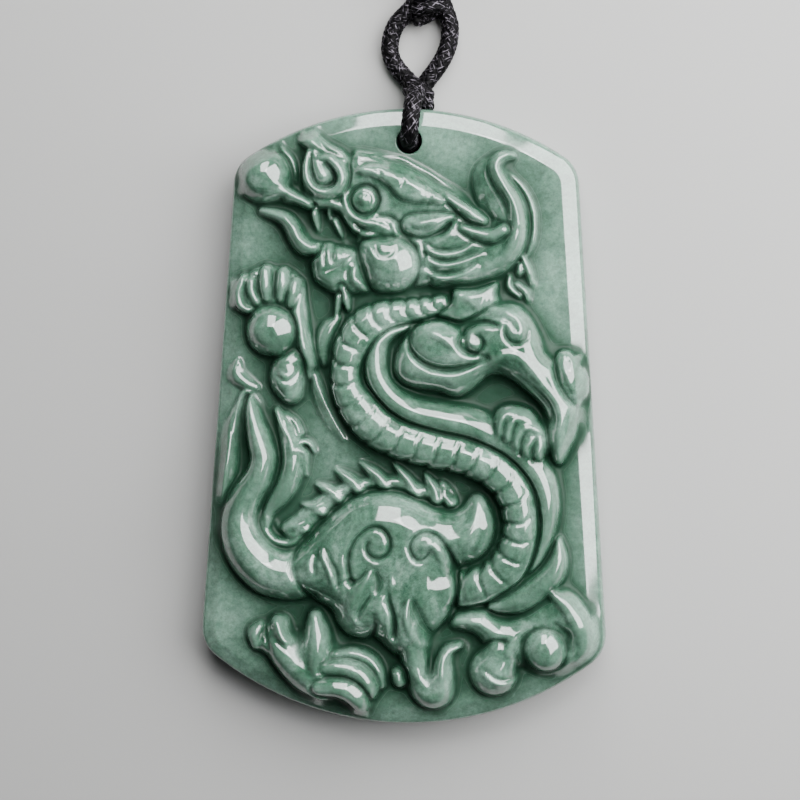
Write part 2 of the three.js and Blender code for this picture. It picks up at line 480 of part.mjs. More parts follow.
// The pair of spirals cut in the haunch.
function haunchCurls(sheet) {
  sheet.cut([[-4.6, -16, 0.45, 0.7], [-4.95, -14.6, 0.4, 0.75], [-4.9, -13, 0.33, 0.75],
    [-4.3, -11.6, 0.32, 0.75], [-3.2, -10.6, 0.32, 0.75], [-2.1, -10.35, 0.32, 0.75],
    [-1.2, -10.95, 0.32, 0.75], [-0.85, -12, 0.32, 0.75], [-1.2, -13, 0.32, 0.7],
    [-2.1, -13.45, 0.32, 0.7], [-3, -13, 0.3, 0.65], [-3.15, -12.2, 0.28, 0.55],
    [-2.8, -11.7, 0.18, 0.35]]);
  sheet.cut([[3, -12.7, 0.22, 0.4], [2.5, -13.35, 0.3, 0.6], [1.8, -13.5, 0.32, 0.7],
    [1.25, -12.9, 0.32, 0.75], [1.1, -12.1, 0.32, 0.75], [1.6, -11.2, 0.32, 0.75],
    [2.6, -10.8, 0.32, 0.75], [3.8, -11.2, 0.32, 0.75], [4.7, -12.3, 0.36, 0.8],
    [5.3, -13.8, 0.42, 0.9], [5.65, -15.6, 0.46, 0.9], [5.6, -17.6, 0.42, 0.8],
    [5, -19.6, 0.4, 0.6], [3.8, -21, 0.35, 0.4]]);
  sheet.swell([[-2.5, -12.1, 0.7, 0.15], [-2.1, -11.9, 0.7, 0.2]]);
  sheet.swell([[2.2, -12.2, 0.5, 0.25], [3.2, -11.9, 0.55, 0.35], [4.1, -13, 0.55, 0.35],
    [4.5, -14.8, 0.5, 0.25]]);
}

// Flame tongues that lick down from the haunch.
function thighFlames(sheet) {
  sheet.swell([[-2.8, -14.7, 0.2, 0.3], [-3.3, -15.8, 0.5, 0.4], [-4.3, -17.2, 0.9, 0.4],
    [-5.2, -18.8, 1.1, 0.25]]);
  sheet.cut([[-2.2, -14.8, 0.5, 0.3], [-1.95, -15.8, 0.7, 0.5], [-2.1, -16.6, 0.5, 0.4]]);
  sheet.swell([[-1.7, -17.3, 0.5, 0.2], [-1.9, -18.4, 0.6, 0.25], [-1.6, -19.8, 0.5, 0.25]]);
  sheet.cut([[-0.95, -16.9, 0.22, 0.3], [-0.85, -17.8, 0.36, 0.8], [-0.5, -18.9, 0.42, 1],
    [-0.4, -20, 0.46, 1.1], [-0.4, -21, 0.46, 0.9], [-0.35, -21.6, 0.3, 0.3]]);
  sheet.cut([[1.35, -17.5, 0.4, 0.3], [1.8, -18.6, 0.8, 0.5], [2.3, -19.8, 0.8, 0.5],
    [2.9, -20.9, 0.5, 0.4]]);
  sheet.swell([[1.05, -17.35, 0.14, 0.3], [0.8, -18.4, 0.36, 0.45], [0.9, -19.6, 0.55, 0.5],
    [1.4, -20.8, 0.7, 0.5], [2, -21.9, 0.7, 0.35]]);
}

// The hooked flame at the bottom and the small bead beside it.
function lowFlames(sheet) {
  sheet.mass([[0.2, -22.4], [2.6, -22], [3, -23.2], [2.9, -25], [1.4, -25.4], [0.4, -24.2]], 2.3, 1.2);
  sheet.over([[5.8, -22.3, 0.4, 1.7], [4.8, -22.8, 0.7, 2.2], [4.3, -24, 0.95, 2.5],
    [4.2, -25.4, 1.25, 2.7], [3.5, -26.9, 1.9, 2.6], [2.5, -26.6, 1.7, 2.4],
    [1.6, -25.4, 1.1, 2.2]], 0.1, 0.35);
  sheet.over([[-0.2, -25.2, 0.8, 1.9], [-0.05, -26, 0.8, 1.9]], 0.1, 0.4);
}

// Hind leg under the coils, with the ball and cloud lobes at the corner.
function hindLeg(sheet) {
  sheet.over([[15.6, -11.6, 0.3, 1.4], [15.6, -13.2, 0.9, 2.2], [15, -14.9, 1.35, 2.5],
    [13.6, -16.4, 1.55, 2.5], [11.8, -17.6, 1.45, 2.3], [10, -18.2, 0.9, 1.9],
    [8.9, -18.3, 0.4, 1.5]], 0.2, 0.3);
  sheet.mass([[5, -19.3], [6.6, -18.6], [8.4, -18.5], [9.2, -19], [10.6, -19.4], [12.2, -18.8],
    [13.6, -17.6], [14.8, -16.6], [16.2, -16.3], [17.4, -17.6], [18.6, -19.4], [19, -21.4],
    [18.4, -23.2], [16.6, -24.6], [14.2, -25.2], [12, -24.4], [11.2, -25.6], [8.6, -24.6],
    [8.3, -22.6], [7.2, -21.2], [5, -20.6]], 2.2, 2);
  sheet.grow([[15.2, -16.9, 0.9, 2.3], [16.5, -18.2, 1.5, 2.7], [17.5, -20, 1.6, 2.7],
    [17.9, -21.8, 1.4, 2.3], [17.5, -23.4, 0.9, 1.6]], 0.1);
  sheet.over([[9.8, -23.2, 1.7, 2.4], [9.2, -24.8, 2.4, 2.7], [9.6, -25.2, 2.1, 2.6]], 0.1, 0.4);
  sheet.grow([[11.3, -21.2, 0.9, 2.3], [10.7, -22.8, 1.1, 2.5]]);
  sheet.cut([[13.2, -20.2, 0.4, 0.4], [12.1, -21.4, 0.5, 0.7], [12, -23.2, 0.5, 0.8],
    [12.4, -24.6, 0.4, 0.5]]);
  sheet.cut([[15.4, -19.8, 0.5, 0.5], [16.5, -20.9, 0.6, 0.7], [16.7, -22.4, 0.5, 0.5]]);
  sheet.over([[14.3, -22.3, 2.05, 3.1], [14.35, -22.7, 2.05, 3.1]], 0.2, 0.4);
  sheet.press([[6.2, -21.2], [7.6, -21.6], [8.1, -22.4], [7.6, -23.2], [6.8, -23.8], [6.4, -22.6]], -0.2, 0.9);
}

// Clawed hind foot at the lower left.
function hindFoot(sheet) {
  sheet.over([[-14, -20.7, 0.5, 1.5], [-14.5, -21.5, 0.95, 1.8], [-14.4, -22.5, 0.8, 1.6]], 0.1, 0.3);
  sheet.mass([[-13.8, -20.6], [-12.3, -19.5], [-11.2, -19.8], [-10.6, -21.2], [-9.8, -21],
    [-8.9, -19.2], [-7.9, -19], [-7, -20.4], [-6.4, -22.2], [-5.4, -22.8], [-4, -22.6],
    [-2.4, -23.4], [-1.6, -25.2], [-1.8, -26.8], [-2.6, -27.8], [-3.4, -28.6], [-4.3, -29.6],
    [-5.4, -29.2], [-7, -28.5], [-9.4, -27.2], [-11.8, -25.2], [-13.6, -23.8], [-14.6, -22.8],
    [-14.4, -21.6]], 2.2, 2.4);
  sheet.grow([[-12.3, -20.3, 0.8, 2.2], [-11.9, -21.4, 1, 2.4], [-11.3, -22.3, 0.9, 2.4],
    [-10.9, -23.4, 1.2, 2.2]]);
  sheet.grow([[-8.4, -19.7, 0.9, 2.4], [-8.3, -21.4, 1.5, 2.9], [-8.3, -23.4, 1.9, 3],
    [-8.2, -25.2, 2, 2.8], [-7.8, -26.6, 1.7, 2.5]]);
  sheet.over([[-6.4, -23.5, 0.6, 1.9], [-4.6, -23.3, 0.75, 2], [-3, -23.9, 0.75, 1.9],
    [-2.1, -25.2, 0.65, 1.8], [-1.9, -26.5, 0.5, 1.5]], 0.2, 0.2);
  sheet.over([[-7.2, -24.7, 0.7, 2.6], [-5.4, -24.6, 0.95, 2.7], [-3.8, -25.3, 1.05, 2.8],
    [-3, -26.5, 0.95, 2.6], [-2.9, -27.6, 0.5, 2]], 0.4, 0.25);
  sheet.over([[-7.8, -26.2, 1, 2.7], [-5.8, -26.4, 1.2, 2.9], [-4.4, -27.2, 1.2, 2.8],
    [-3.8, -28.5, 0.9, 2.1], [-4, -29.5, 0.3, 1.1]], 0.3, 0.25);
}

// Raised plate over the eye, and the crease over it.
function brow(sheet) {
  sheet.lift([[-4.2, 24.6], [-1.8, 24.7], [0.4, 24.1], [2.8, 22.9], [3, 21.2],
    [1.2, 21], [-0.4, 20.9], [-1.2, 22], [-2.4, 23]], 0.75, 0.45);
  sheet.swell([[-4.8, 26.3, 0.45, 0.5], [-3, 26, 0.5, 0.5], [-0.4, 25.4, 0.5, 0.5],
    [2.4, 24.1, 0.5, 0.5], [5.2, 22.3, 0.45, 0.5], [6.8, 21, 0.35, 0.4]]);
}

// Round eye in its socket.
function eye(sheet) {
  sheet.cut([[-2.25, 21.6, 0.42, 0.8], [-2.7, 22.6, 0.42, 0.8], [-3.7, 23.05, 0.42, 0.8],
    [-4.7, 22.6, 0.42, 0.8], [-5.15, 21.6, 0.42, 0.8], [-4.7, 20.6, 0.42, 0.8],
    [-3.7, 20.15, 0.42, 0.8], [-2.7, 20.6, 0.42, 0.8], [-2.25, 21.6, 0.42, 0.8]]);
  sheet.cut([[-2.3, 20.15, 0.35, 0.6], [-1.2, 20, 0.4, 0.6], [-0.4, 19.4, 0.4, 0.6],
    [-0.2, 18.5, 0.4, 0.6], [0.6, 17.8, 0.42, 0.6], [1.4, 17, 0.42, 0.6]]);
  sheet.swell([[-3.7, 21.65, 1.1, 0.4], [-3.6, 21.6, 1.1, 0.4]]);
}

// Crescent between the two lobes of the shoulder, and its spiral grooves.
function shoulderCurls(sheet) {
  sheet.cut([[0.7, 8.1, 0.3, 0.4], [1, 7, 0.4, 0.6], [1.9, 6, 0.45, 0.8], [3.2, 5.4, 0.48, 0.9],
    [4.8, 5.2, 0.46, 0.9], [6.4, 5.5, 0.4, 0.7], [7.8, 6.05, 0.3, 0.4]]);
  sheet.cut([[9.4, 9.5, 0.4, 0.8], [8.4, 9.8, 0.42, 0.9], [7.4, 9.7, 0.38, 0.9],
    [6.5, 9.3, 0.36, 0.8], [5.9, 8.6, 0.36, 0.8], [5.7, 7.9, 0.36, 0.8], [5.9, 7.2, 0.36, 0.8],
    [6.5, 6.8, 0.36, 0.8], [7.3, 6.75, 0.36, 0.8], [7.9, 7.2, 0.34, 0.8], [8.05, 7.8, 0.32, 0.7]]);
  sheet.cut([[10.2, 9.5, 0.25, 0.4], [10.2, 8.7, 0.32, 0.7], [10.6, 8, 0.35, 0.8],
    [11.4, 7.75, 0.35, 0.8], [12.2, 8.2, 0.35, 0.7], [12.4, 9, 0.3, 0.5]]);
  sheet.swell([[8.6, 11, 0.3, 0.3], [9.8, 11, 0.42, 0.4], [10.9, 10.6, 0.42, 0.4], [11.6, 9.9, 0.36, 0.3]]);
}
// Pointed leaves of the fin along the back: tip x and y, then root x and y.
const FIN_LEAVES = [[-11.7, -10.9, -9.2, -10.4], [-9.9, -8.5, -7.6, -8.6], [-8.6, -6.6, -6, -7.2],
  [-6.7, -5.1, -4, -6.3], [-4.2, -4.35, -1.3, -6], [-0.8, -4.3, 1.7, -6.9],
  [2.3, -5.2, 3.7, -7.2], [3.9, -6, 5.2, -7.7]];

function finLeaves(sheet) {
  for (const [tipX, tipY, rootX, rootY] of FIN_LEAVES) {
    const between = (share, drop) => [tipX + (rootX - tipX) * share, tipY + (rootY - tipY) * share - drop];
    sheet.grow([[tipX, tipY, 0.16, 0.8], [...between(0.28, 0.15), 0.5, 1.2],
      [...between(0.6, 0.35), 0.75, 1.5], [rootX - 0.2, rootY - 0.6, 0.75, 1.6]]);
  }
}

// Places along the belly band for its cross grooves, closer together under the chin.
function scuteStations(band) {
  const run = smoothRun(band, 0.05);
  const stations = [];
  let length = 0;
  let due = 0.5;
  for (let i = 1; i < run.length - 1; i++) {
    const [a, b] = [run[i - 1], run[i]];
    const step = Math.hypot(b[0] - a[0], b[1] - a[1]);
    length += step;
    if (length < due) continue;
    stations.push({ x: b[0], y: b[1], half: b[2], lean: b[4], alongX: (b[0] - a[0]) / step, alongY: (b[1] - a[1]) / step });
    due += Math.min(1.95, 1.3 + length * 0.07);
  }
  return stations;
}

// Grooves between the belly scutes, each bowed towards the tail.
function scutes(sheet) {
  for (const { x, y, half, lean, alongX, alongY } of scuteStations(BELLY_BAND)) {
    const place = (across, along) => [x - alongY * half * across + alongX * along,
      y + alongX * half * across + alongY * along];
    sheet.cut([[...place(-0.9, -lean), 0.45, 0.8], [...place(-0.45, 0.3), 0.4, 0.55],
      [...place(0.2, 0.35), 0.35, 0.45], [...place(0.72, lean), 0.28, 0.3]]);
  }
}

// All forms of the dragon, from those that lie lowest to those in front.
function carve() {
  const sheet = new CarvingSheet();
  const forms = [faceMass, mane, snout, brow, eye, jaws, whisker, sideFins, leftPaw, tail, coils, scutes,
    cheek, shoulder, foreleg, shoulderCurls, hand, dorsalFin, finLeaves, hindLeg, haunch, haunchCurls,
    thighFlames, lowFlames, hindFoot];
  for (const form of forms) form(sheet);
  for (let i = 0; i < POLISH_ROUNDS; i++) sheet.polish();
  return sheet;
}

// A round stretch of the outline; its normal points out of the tablet.
function arcPiece(centreX, centreY, radius, from, to) {
  return {
    length: Math.abs(to - from) * radius,
    at(share) {
      const angle = from + (to - from) * share;
      const [outX, outY] = [Math.cos(angle), Math.sin(angle)];
      return { x: centreX + radius * outX, y: centreY + radius * outY, outX, outY };
    },
  };
}

// A straight stretch of the outline between two places with the same normal.
function linePiece(a, b) {
  return {
    length: Math.hypot(b.x - a.x, b.y - a.y),
    at(share) {
      return { x: a.x + (b.x - a.x) * share, y: a.y + (b.y - a.y) * share, outX: a.outX, outY: a.outY };
    },
  };
}

// The four sides of the outline, each from the middle of one corner to the middle of the next:
// foot from left to right, right side upwards, top from left to right, left side upwards.
function outlineSides() {
  const footCentreY = -TABLET_HEIGHT / 2 + FOOT_ARC_RADIUS;
  const topCentreY = TABLET_HEIGHT / 2 - TOP_ARC_RADIUS;
  const footX = TABLET_WIDTH / 2 - FOOT_CORNER_RADIUS;
  const topX = TOP_WIDTH / 2 - TOP_CORNER_RADIUS;
  const footY = footCentreY - Math.sqrt((FOOT_ARC_RADIUS - FOOT_CORNER_RADIUS) ** 2 - footX ** 2);
  const topY = topCentreY + Math.sqrt((TOP_ARC_RADIUS - TOP_CORNER_RADIUS) ** 2 - topX ** 2);
  const apart = Math.hypot(topX - footX, topY - footY);
  const tilt = Math.atan2(topY - footY, topX - footX)
    - Math.acos((FOOT_CORNER_RADIUS - TOP_CORNER_RADIUS) / apart);
  const footTurn = Math.atan2(footY - footCentreY, footX);
  const topTurn = Math.atan2(topY - topCentreY, topX);
  const footMiddle = (footTurn + tilt) / 2;
  const topMiddle = (topTurn + tilt) / 2;

  const footArc = arcPiece(0, footCentreY, FOOT_ARC_RADIUS, -Math.PI - footTurn, footTurn);
  const footRight = arcPiece(footX, footY, FOOT_CORNER_RADIUS, footTurn, footMiddle);
  const footLeft = arcPiece(-footX, footY, FOOT_CORNER_RADIUS, -Math.PI - footMiddle, -Math.PI - footTurn);
  const sideLow = arcPiece(footX, footY, FOOT_CORNER_RADIUS, footMiddle, tilt);
  const sideHigh = arcPiece(topX, topY, TOP_CORNER_RADIUS, tilt, topMiddle);
  const topArc = arcPiece(0, topCentreY, TOP_ARC_RADIUS, Math.PI - topTurn, topTurn);
  const topLeft = arcPiece(-topX, topY, TOP_CORNER_RADIUS, Math.PI - topMiddle, Math.PI - topTurn);
  const topRight = arcPiece(topX, topY, TOP_CORNER_RADIUS, topTurn, topMiddle);
  const right = [sideLow, linePiece(sideLow.at(1), sideHigh.at(0)), sideHigh];
  return {
    foot: [footLeft, footArc, footRight],
    right,
    top: [topLeft, topArc, topRight],
    left: right.map(mirrored),
  };
}

function mirrored(piece) {
  return {
    length: piece.length,
    at(share) {
      const place = piece.at(share);
      return { x: -place.x, y: place.y, outX: -place.outX, outY: place.outY };
    },
  };
}

// The place at a share of the length of a side, moved in from the outline.
function alongSide(pieces, share, inset) {
  const total = pieces.reduce((sum, piece) => sum + piece.length, 0);
  let left = share * total;
  let index = 0;
  while (index < pieces.length - 1 && left > pieces[index].length) {
    left -= pieces[index].length;
    index += 1;
  }
  const { x, y, outX, outY } = pieces[index].at(Math.min(1, left / pieces[index].length));
  return [x - outX * inset, y - outY * inset];
}

// Maps the unit square onto the front inside its rounded rim.
function frontPlace(sides, u, v) {
  const inset = RIM_WIDTH;
  const foot = alongSide(sides.foot, u, inset);
  const top = alongSide(sides.top, u, inset);
  const left = alongSide(sides.left, v, inset);
  const right = alongSide(sides.right, v, inset);
  const corners = [alongSide(sides.foot, 0, inset), alongSide(sides.foot, 1, inset),
    alongSide(sides.top, 0, inset), alongSide(sides.top, 1, inset)];
  return [0, 1].map((k) => (1 - v) * foot[k] + v * top[k] + (1 - u) * left[k] + u * right[k]
    - (1 - u) * (1 - v) * corners[0][k] - u * (1 - v) * corners[1][k]
    - (1 - u) * v * corners[2][k] - u * v * corners[3][k]);
}

// Height of the carved front above the back face.
function frontHeight(sheet, x, y) {
  const relief = sheet.at(x * SHEET_WIDTH / TABLET_WIDTH, y * SHEET_HEIGHT / TABLET_HEIGHT);
  return GROUND_THICKNESS + relief * RELIEF_HEIGHT / SHEET_RELIEF;
}

// How far the middle of each possible triangle's long side is off the straight line, with the
// worst of the smaller triangles inside it, so that a split never leaves a crack.
// The outline counts for more than the height of the carving.
function splitErrors(places, heights) {
  const size = GRID + 1;
  const errors = new Float64Array(size * size);
  const triangles = GRID * GRID * 2 - 2;
  const parents = triangles - GRID * GRID;
  for (let i = triangles - 1; i >= 0; i--) {
    let id = i + 2;
    let [ax, ay, bx, by, cx, cy] = id & 1 ? [0, 0, GRID, GRID, GRID, 0] : [GRID, GRID, 0, 0, 0, GRID];
    while ((id >>= 1) > 1) {
      const [mx, my] = [(ax + bx) >> 1, (ay + by) >> 1];
      if (id & 1) [bx, by, ax, ay] = [ax, ay, cx, cy];
      else [ax, ay, bx, by] = [bx, by, cx, cy];
      [cx, cy] = [mx, my];
    }
    const middle = ((ay + by) >> 1) * size + ((ax + bx) >> 1);
    const [first, last] = [ay * size + ax, by * size + bx];
    const lift = (heights[first] + heights[last]) / 2 - heights[middle];
    const [aside, along] = [0, 1].map((k) => (places[first][k] + places[last][k]) / 2 - places[middle][k]);
    const error = Math.max(Math.abs(lift), OUTLINE_WEIGHT * Math.hypot(aside, along));
    errors[middle] = Math.max(errors[middle], error);
    if (i < parents) {
      const leftChild = ((ay + cy) >> 1) * size + ((ax + cx) >> 1);
      const rightChild = ((by + cy) >> 1) * size + ((bx + cx) >> 1);
      errors[middle] = Math.max(errors[middle], errors[leftChild], errors[rightChild]);
    }
  }
  return errors;
}

// Triangles of the grid, split only where the carving needs it.
function frontTriangles(places, heights) {
  const size = GRID + 1;
  const errors = splitErrors(places, heights);
  const triangles = [];
  const split = (ax, ay, bx, by, cx, cy) => {
    const [mx, my] = [(ax + bx) >> 1, (ay + by) >> 1];
    if (Math.abs(ax - cx) + Math.abs(ay - cy) > 1 && errors[my * size + mx] > CARVING_ERROR) {
      split(cx, cy, ax, ay, mx, my);
      split(bx, by, cx, cy, mx, my);
      return;
    }
    triangles.push([ay * size + ax, cy * size + cx, by * size + bx]);
  };
  split(0, 0, GRID, GRID, GRID, 0);
  split(GRID, GRID, 0, 0, 0, GRID);
  return triangles;
}

// Grid places in use round the border, anticlockwise, each with its side and its share of it.
function borderPlaces(used) {
  const size = GRID + 1;
  const border = [];
  for (let i = 0; i < GRID; i++) border.push({ id: i, side: 'foot', share: i / GRID });
  for (let i = 0; i < GRID; i++) border.push({ id: i * size + GRID, side: 'right', share: i / GRID });
  for (let i = GRID; i > 0; i--) border.push({ id: GRID * size + i, side: 'top', share: i / GRID });
  for (let i = GRID; i > 0; i--) border.push({ id: i * size, side: 'left', share: i / GRID });
  return border.filter((place) => used.has(place.id));
}

// The tablet before its hole is drilled: carved front, rounded rim, side wall and flat back.
function tabletBlank() {
  const size = GRID + 1;
  const sheet = carve();
  const sides = outlineSides();
  const places = [];
  const heights = new Float64Array(size * size);
  for (let j = 0; j <= GRID; j++) {
    for (let i = 0; i <= GRID; i++) {
      const [x, y] = frontPlace(sides, i / GRID, j / GRID);
      places.push([x, y]);
      heights[j * size + i] = frontHeight(sheet, x, y);
    }
  }

  const positions = [];
  const indices = [];
  const vertexOf = new Map();
  const vertex = (x, y, z) => positions.push(x, y, z) / 3 - 1;
  for (const triangle of frontTriangles(places, heights)) {
    for (const id of triangle) {
      if (!vertexOf.has(id)) vertexOf.set(id, vertex(...places[id], heights[id]));
      indices.push(vertexOf.get(id));
    }
  }

  const border = borderPlaces(vertexOf);
  let ring = border.map((place) => vertexOf.get(place.id));
  for (const { inset, height, rise } of edgeRings()) {
    const next = border.map(({ side, share }) => {
      const [x, y] = alongSide(sides[side], share, inset);
      const top = rise > 0 ? frontHeight(sheet, x, y) : height;
      return vertex(x, y, height + (top - height) * rise);
    });
    for (let i = 0; i < next.length; i++) {
      const j = (i + 1) % next.length;
      indices.push(ring[i], next[i], next[j], ring[i], next[j], ring[j]);
    }
    ring = next;
  }

  const backMiddle = vertex(0, 0, 0);
  for (let i = 0; i < ring.length; i++) {
    indices.push(ring[i], backMiddle, ring[(i + 1) % ring.length]);
  }
  const geometry = new THREE.BufferGeometry();
  geometry.setAttribute('position', new THREE.Float32BufferAttribute(positions, 3));
  geometry.setIndex(indices);
  return geometry;
}

// Rings of the edge from the rim down to the back: inset from the outline, height, and how much
// of the rise from that height to the carved surface the ring keeps.
function edgeRings() {
  const sideTop = GROUND_THICKNESS - RIM_DROP;
  const edge = RIM_WIDTH - RIM_BEVEL_WIDTH;
  const kept = 1 - RIM_BEVEL_DROP / RIM_DROP;
  const rim = [1, 0.25, 0].map((part) => (
    { inset: edge * part, height: sideTop, rise: kept * roundRise(part) }));
  const back = [0, 0.3, 1].map((part) => (
    { inset: BACK_EDGE_ROUND * part, height: BACK_EDGE_ROUND * (1 - roundRise(part)), rise: 0 }));
  return [...rim, ...back];
}

// Cutter for the hole: straight through, flared where it meets the front.
function holeCutter() {
  const front = GROUND_THICKNESS;
  const profile = [[0, -1], [HOLE_RADIUS, -1], [HOLE_RADIUS, front - HOLE_FLARE],
    [HOLE_RADIUS + HOLE_FLARE, front + 0.05], [HOLE_RADIUS + HOLE_FLARE, front + 2], [0, front + 2]];
  const geometry = new THREE.LatheGeometry(profile.map(([r, z]) => new THREE.Vector2(r, z)), 20);
  geometry.rotateX(Math.PI / 2);
  geometry.translate(HOLE_X, HOLE_Y, 0);
  return geometry;
}

// Cutter for the groove in the back, a round-topped slot from the hole out past the top edge.
function grooveCutter() {
  const half = CORD_RADIUS + CORD_CLEARANCE;
  const shape = new THREE.Shape();
  shape.moveTo(-half, -1);
  shape.lineTo(half, -1);
  shape.lineTo(half, CORD_RADIUS);
  shape.absarc(0, CORD_RADIUS, half, 0, Math.PI, false);
  shape.lineTo(-half, -1);
  const length = HOLE_EDGE_DISTANCE + 1;
  const geometry = new THREE.ExtrudeGeometry(shape, { depth: length, bevelEnabled: false, curveSegments: 5 });
  geometry.rotateX(Math.PI / 2);
  geometry.translate(HOLE_X, HOLE_Y + length, 0);
  return geometry;
}

const wasm = await Module();
wasm.setup();

function toSolid(geometry) {
  const plain = geometry.clone();
  plain.deleteAttribute('normal');
  plain.deleteAttribute('uv');
  const merged = mergeVertices(plain, 1e-5);
  return new wasm.Manifold(new wasm.Mesh({
    numProp: 3,
    vertProperties: new Float32Array(merged.attributes.position.array),
    triVerts: new Uint32Array(merged.index.array),
  }));
}

function fromSolid(solid) {
  const mesh = solid.getMesh();
  const geometry = new THREE.BufferGeometry();
  geometry.setAttribute('position', new THREE.BufferAttribute(mesh.vertProperties, 3));
  geometry.setIndex(new THREE.BufferAttribute(mesh.triVerts, 1));
  geometry.computeVertexNormals();
  return geometry;
}

function tablet() {
  const blank = toSolid(tabletBlank());
  const drilled = blank.subtract(toSolid(holeCutter())).subtract(toSolid(grooveCutter()));
  return piece('jade_tablet', fromSolid(drilled), JADE);
}

function piece(name, geometry, look) {
  const mesh = new THREE.Mesh(geometry, new THREE.MeshStandardMaterial(look));
  mesh.name = name;
  return mesh;
}

// A stretch of the cord through hand-set points, with an eight-sided section.
function cordStretch(name, points, steps) {
  const section = new THREE.Shape();
  for (let i = 0; i < CORD_SIDES; i++) {
    const angle = (i + 0.5) * 2 * Math.PI / CORD_SIDES;
    const corner = [CORD_RADIUS * Math.cos(angle), CORD_RADIUS * Math.sin(angle)];
    if (i === 0) section.moveTo(...corner);
    else section.lineTo(...corner);
  }
  section.closePath();
  const path = new THREE.CatmullRomCurve3(points.map((p) => new THREE.Vector3(...p)), false, 'centripetal');
  return piece(name, new THREE.ExtrudeGeometry(section, { steps, extrudePath: path, bevelEnabled: false }), CORD);
}

// A knot as a rounded solid of its overall size.
function knot(name, size, centre) {
  const geometry = new THREE.SphereGeometry(0.5, 12, 8);
  geometry.scale(...size);
  const mesh = piece(name, geometry, CORD);
  mesh.position.set(...centre);
  return mesh;
}

// The wound-up length of the cord as one ring of the coil's outer shape.
function coil() {
  const halfWidth = COIL_COLUMNS * CORD_RADIUS;
  const height = COIL_LAYERS * CORD_DIAMETER;
  const corner = CORD_RADIUS;
  const [inner, outer] = [COIL_RADIUS - halfWidth, COIL_RADIUS + halfWidth];
  const profile = [[inner + corner, 0], [outer - corner, 0], [outer, corner], [outer, height - corner],
    [outer - corner, height], [inner + corner, height], [inner, height - corner], [inner, corner],
    [inner + corner, 0]];
  const geometry = new THREE.LatheGeometry(profile.map(([r, z]) => new THREE.Vector2(r, z)), 28);
  geometry.rotateX(Math.PI / 2);
  const mesh = piece('cord_coil', geometry, CORD);
  mesh.position.set(...COIL_CENTRE, 0);
  return mesh;
}

const LAID = CORD_RADIUS + CORD_LIFT;
const LOWER_KNOT = [...LOWER_KNOT_PLACE, LOWER_KNOT_SIZE[2] / 2 + CORD_LIFT];
const UPPER_KNOT = [...UPPER_KNOT_PLACE, UPPER_KNOT_SIZE[2] / 2 + CORD_LIFT];

// The cord's route, chosen by hand
const FRONT_STRAND = [[0.5, 27.45, 3.1], [0.5, 27.4, 4.4], [0.55, 27.7, 5.6], [0.68, 28.7, 6.3],
  [0.82, 30, 6.3], [0.95, 31.2, 5.7], [1.05, 32, 4.7], [1.1, 32.3, 3.9]];
const BACK_STRAND = [[0.5, 27.45, 2.3], [0.5, 27.62, 1.55], [0.5, 28.15, 1], [0.5, 29, LAID],
  [0.5, 30, LAID], [0.55, 30.85, LAID]];
const LEFT_STRAND = [[0.05, 33.75, LAID], [-0.75, 34.6, LAID], [-1.45, 35.6, LAID], [-1.8, 36.7, LAID],
  [-1.7, 38, LAID], [-1.25, 39.2, LAID], [-0.6, 40, LAID], [-0.05, 40.45, LAID]];
const RIGHT_STRAND = [[2.05, 33.85, LAID], [2.8, 34.8, LAID], [3.55, 36, LAID], [4.05, 37.3, LAID],
  [4.2, 38.4, LAID], [4.15, 39.2, LAID], [3.95, 39.85, LAID]];
const LEAD_OUT = [[1.1, 42.95, LAID], [0.55, 44.3, LAID], [-0.95, 45.8, LAID], [-3.23, 47.05, LAID]];
const LEAD_IN = [[3.3, 42.95, LAID], [4, 44.3, LAID], [5.6, 45.8, LAID], [8.03, 47.05, LAID]];

const pendant = new THREE.Group();
pendant.add(
  tablet(),
  cordStretch('cord_front', FRONT_STRAND, 9),
  cordStretch('cord_back', BACK_STRAND, 6),
  knot('knot_lower', LOWER_KNOT_SIZE, LOWER_KNOT),
  cordStretch('cord_left', LEFT_STRAND, 9),
  cordStretch('cord_right', RIGHT_STRAND, 7),
  knot('knot_upper', UPPER_KNOT_SIZE, UPPER_KNOT),
  cordStretch('cord_lead_out', LEAD_OUT, 6),
  cordStretch('cord_lead_in', LEAD_IN, 6),
  coil(),
);

export default pendant;
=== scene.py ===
import math

import bpy
import numpy as np
from mathutils import Matrix, Vector


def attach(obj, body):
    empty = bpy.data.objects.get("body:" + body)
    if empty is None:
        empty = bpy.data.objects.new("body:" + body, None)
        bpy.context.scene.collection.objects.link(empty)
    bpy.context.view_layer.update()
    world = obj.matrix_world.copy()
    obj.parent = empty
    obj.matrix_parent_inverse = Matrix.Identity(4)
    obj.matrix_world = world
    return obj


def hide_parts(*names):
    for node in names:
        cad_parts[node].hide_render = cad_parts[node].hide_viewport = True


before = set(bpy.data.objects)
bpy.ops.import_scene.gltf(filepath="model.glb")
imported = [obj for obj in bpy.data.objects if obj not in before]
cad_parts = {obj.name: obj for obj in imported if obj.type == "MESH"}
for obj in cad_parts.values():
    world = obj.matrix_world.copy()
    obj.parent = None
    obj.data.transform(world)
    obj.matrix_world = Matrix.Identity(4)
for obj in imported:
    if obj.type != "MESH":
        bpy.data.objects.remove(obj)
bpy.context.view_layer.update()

# Lengths below are in millimetres until a mesh is made
MM = 0.001

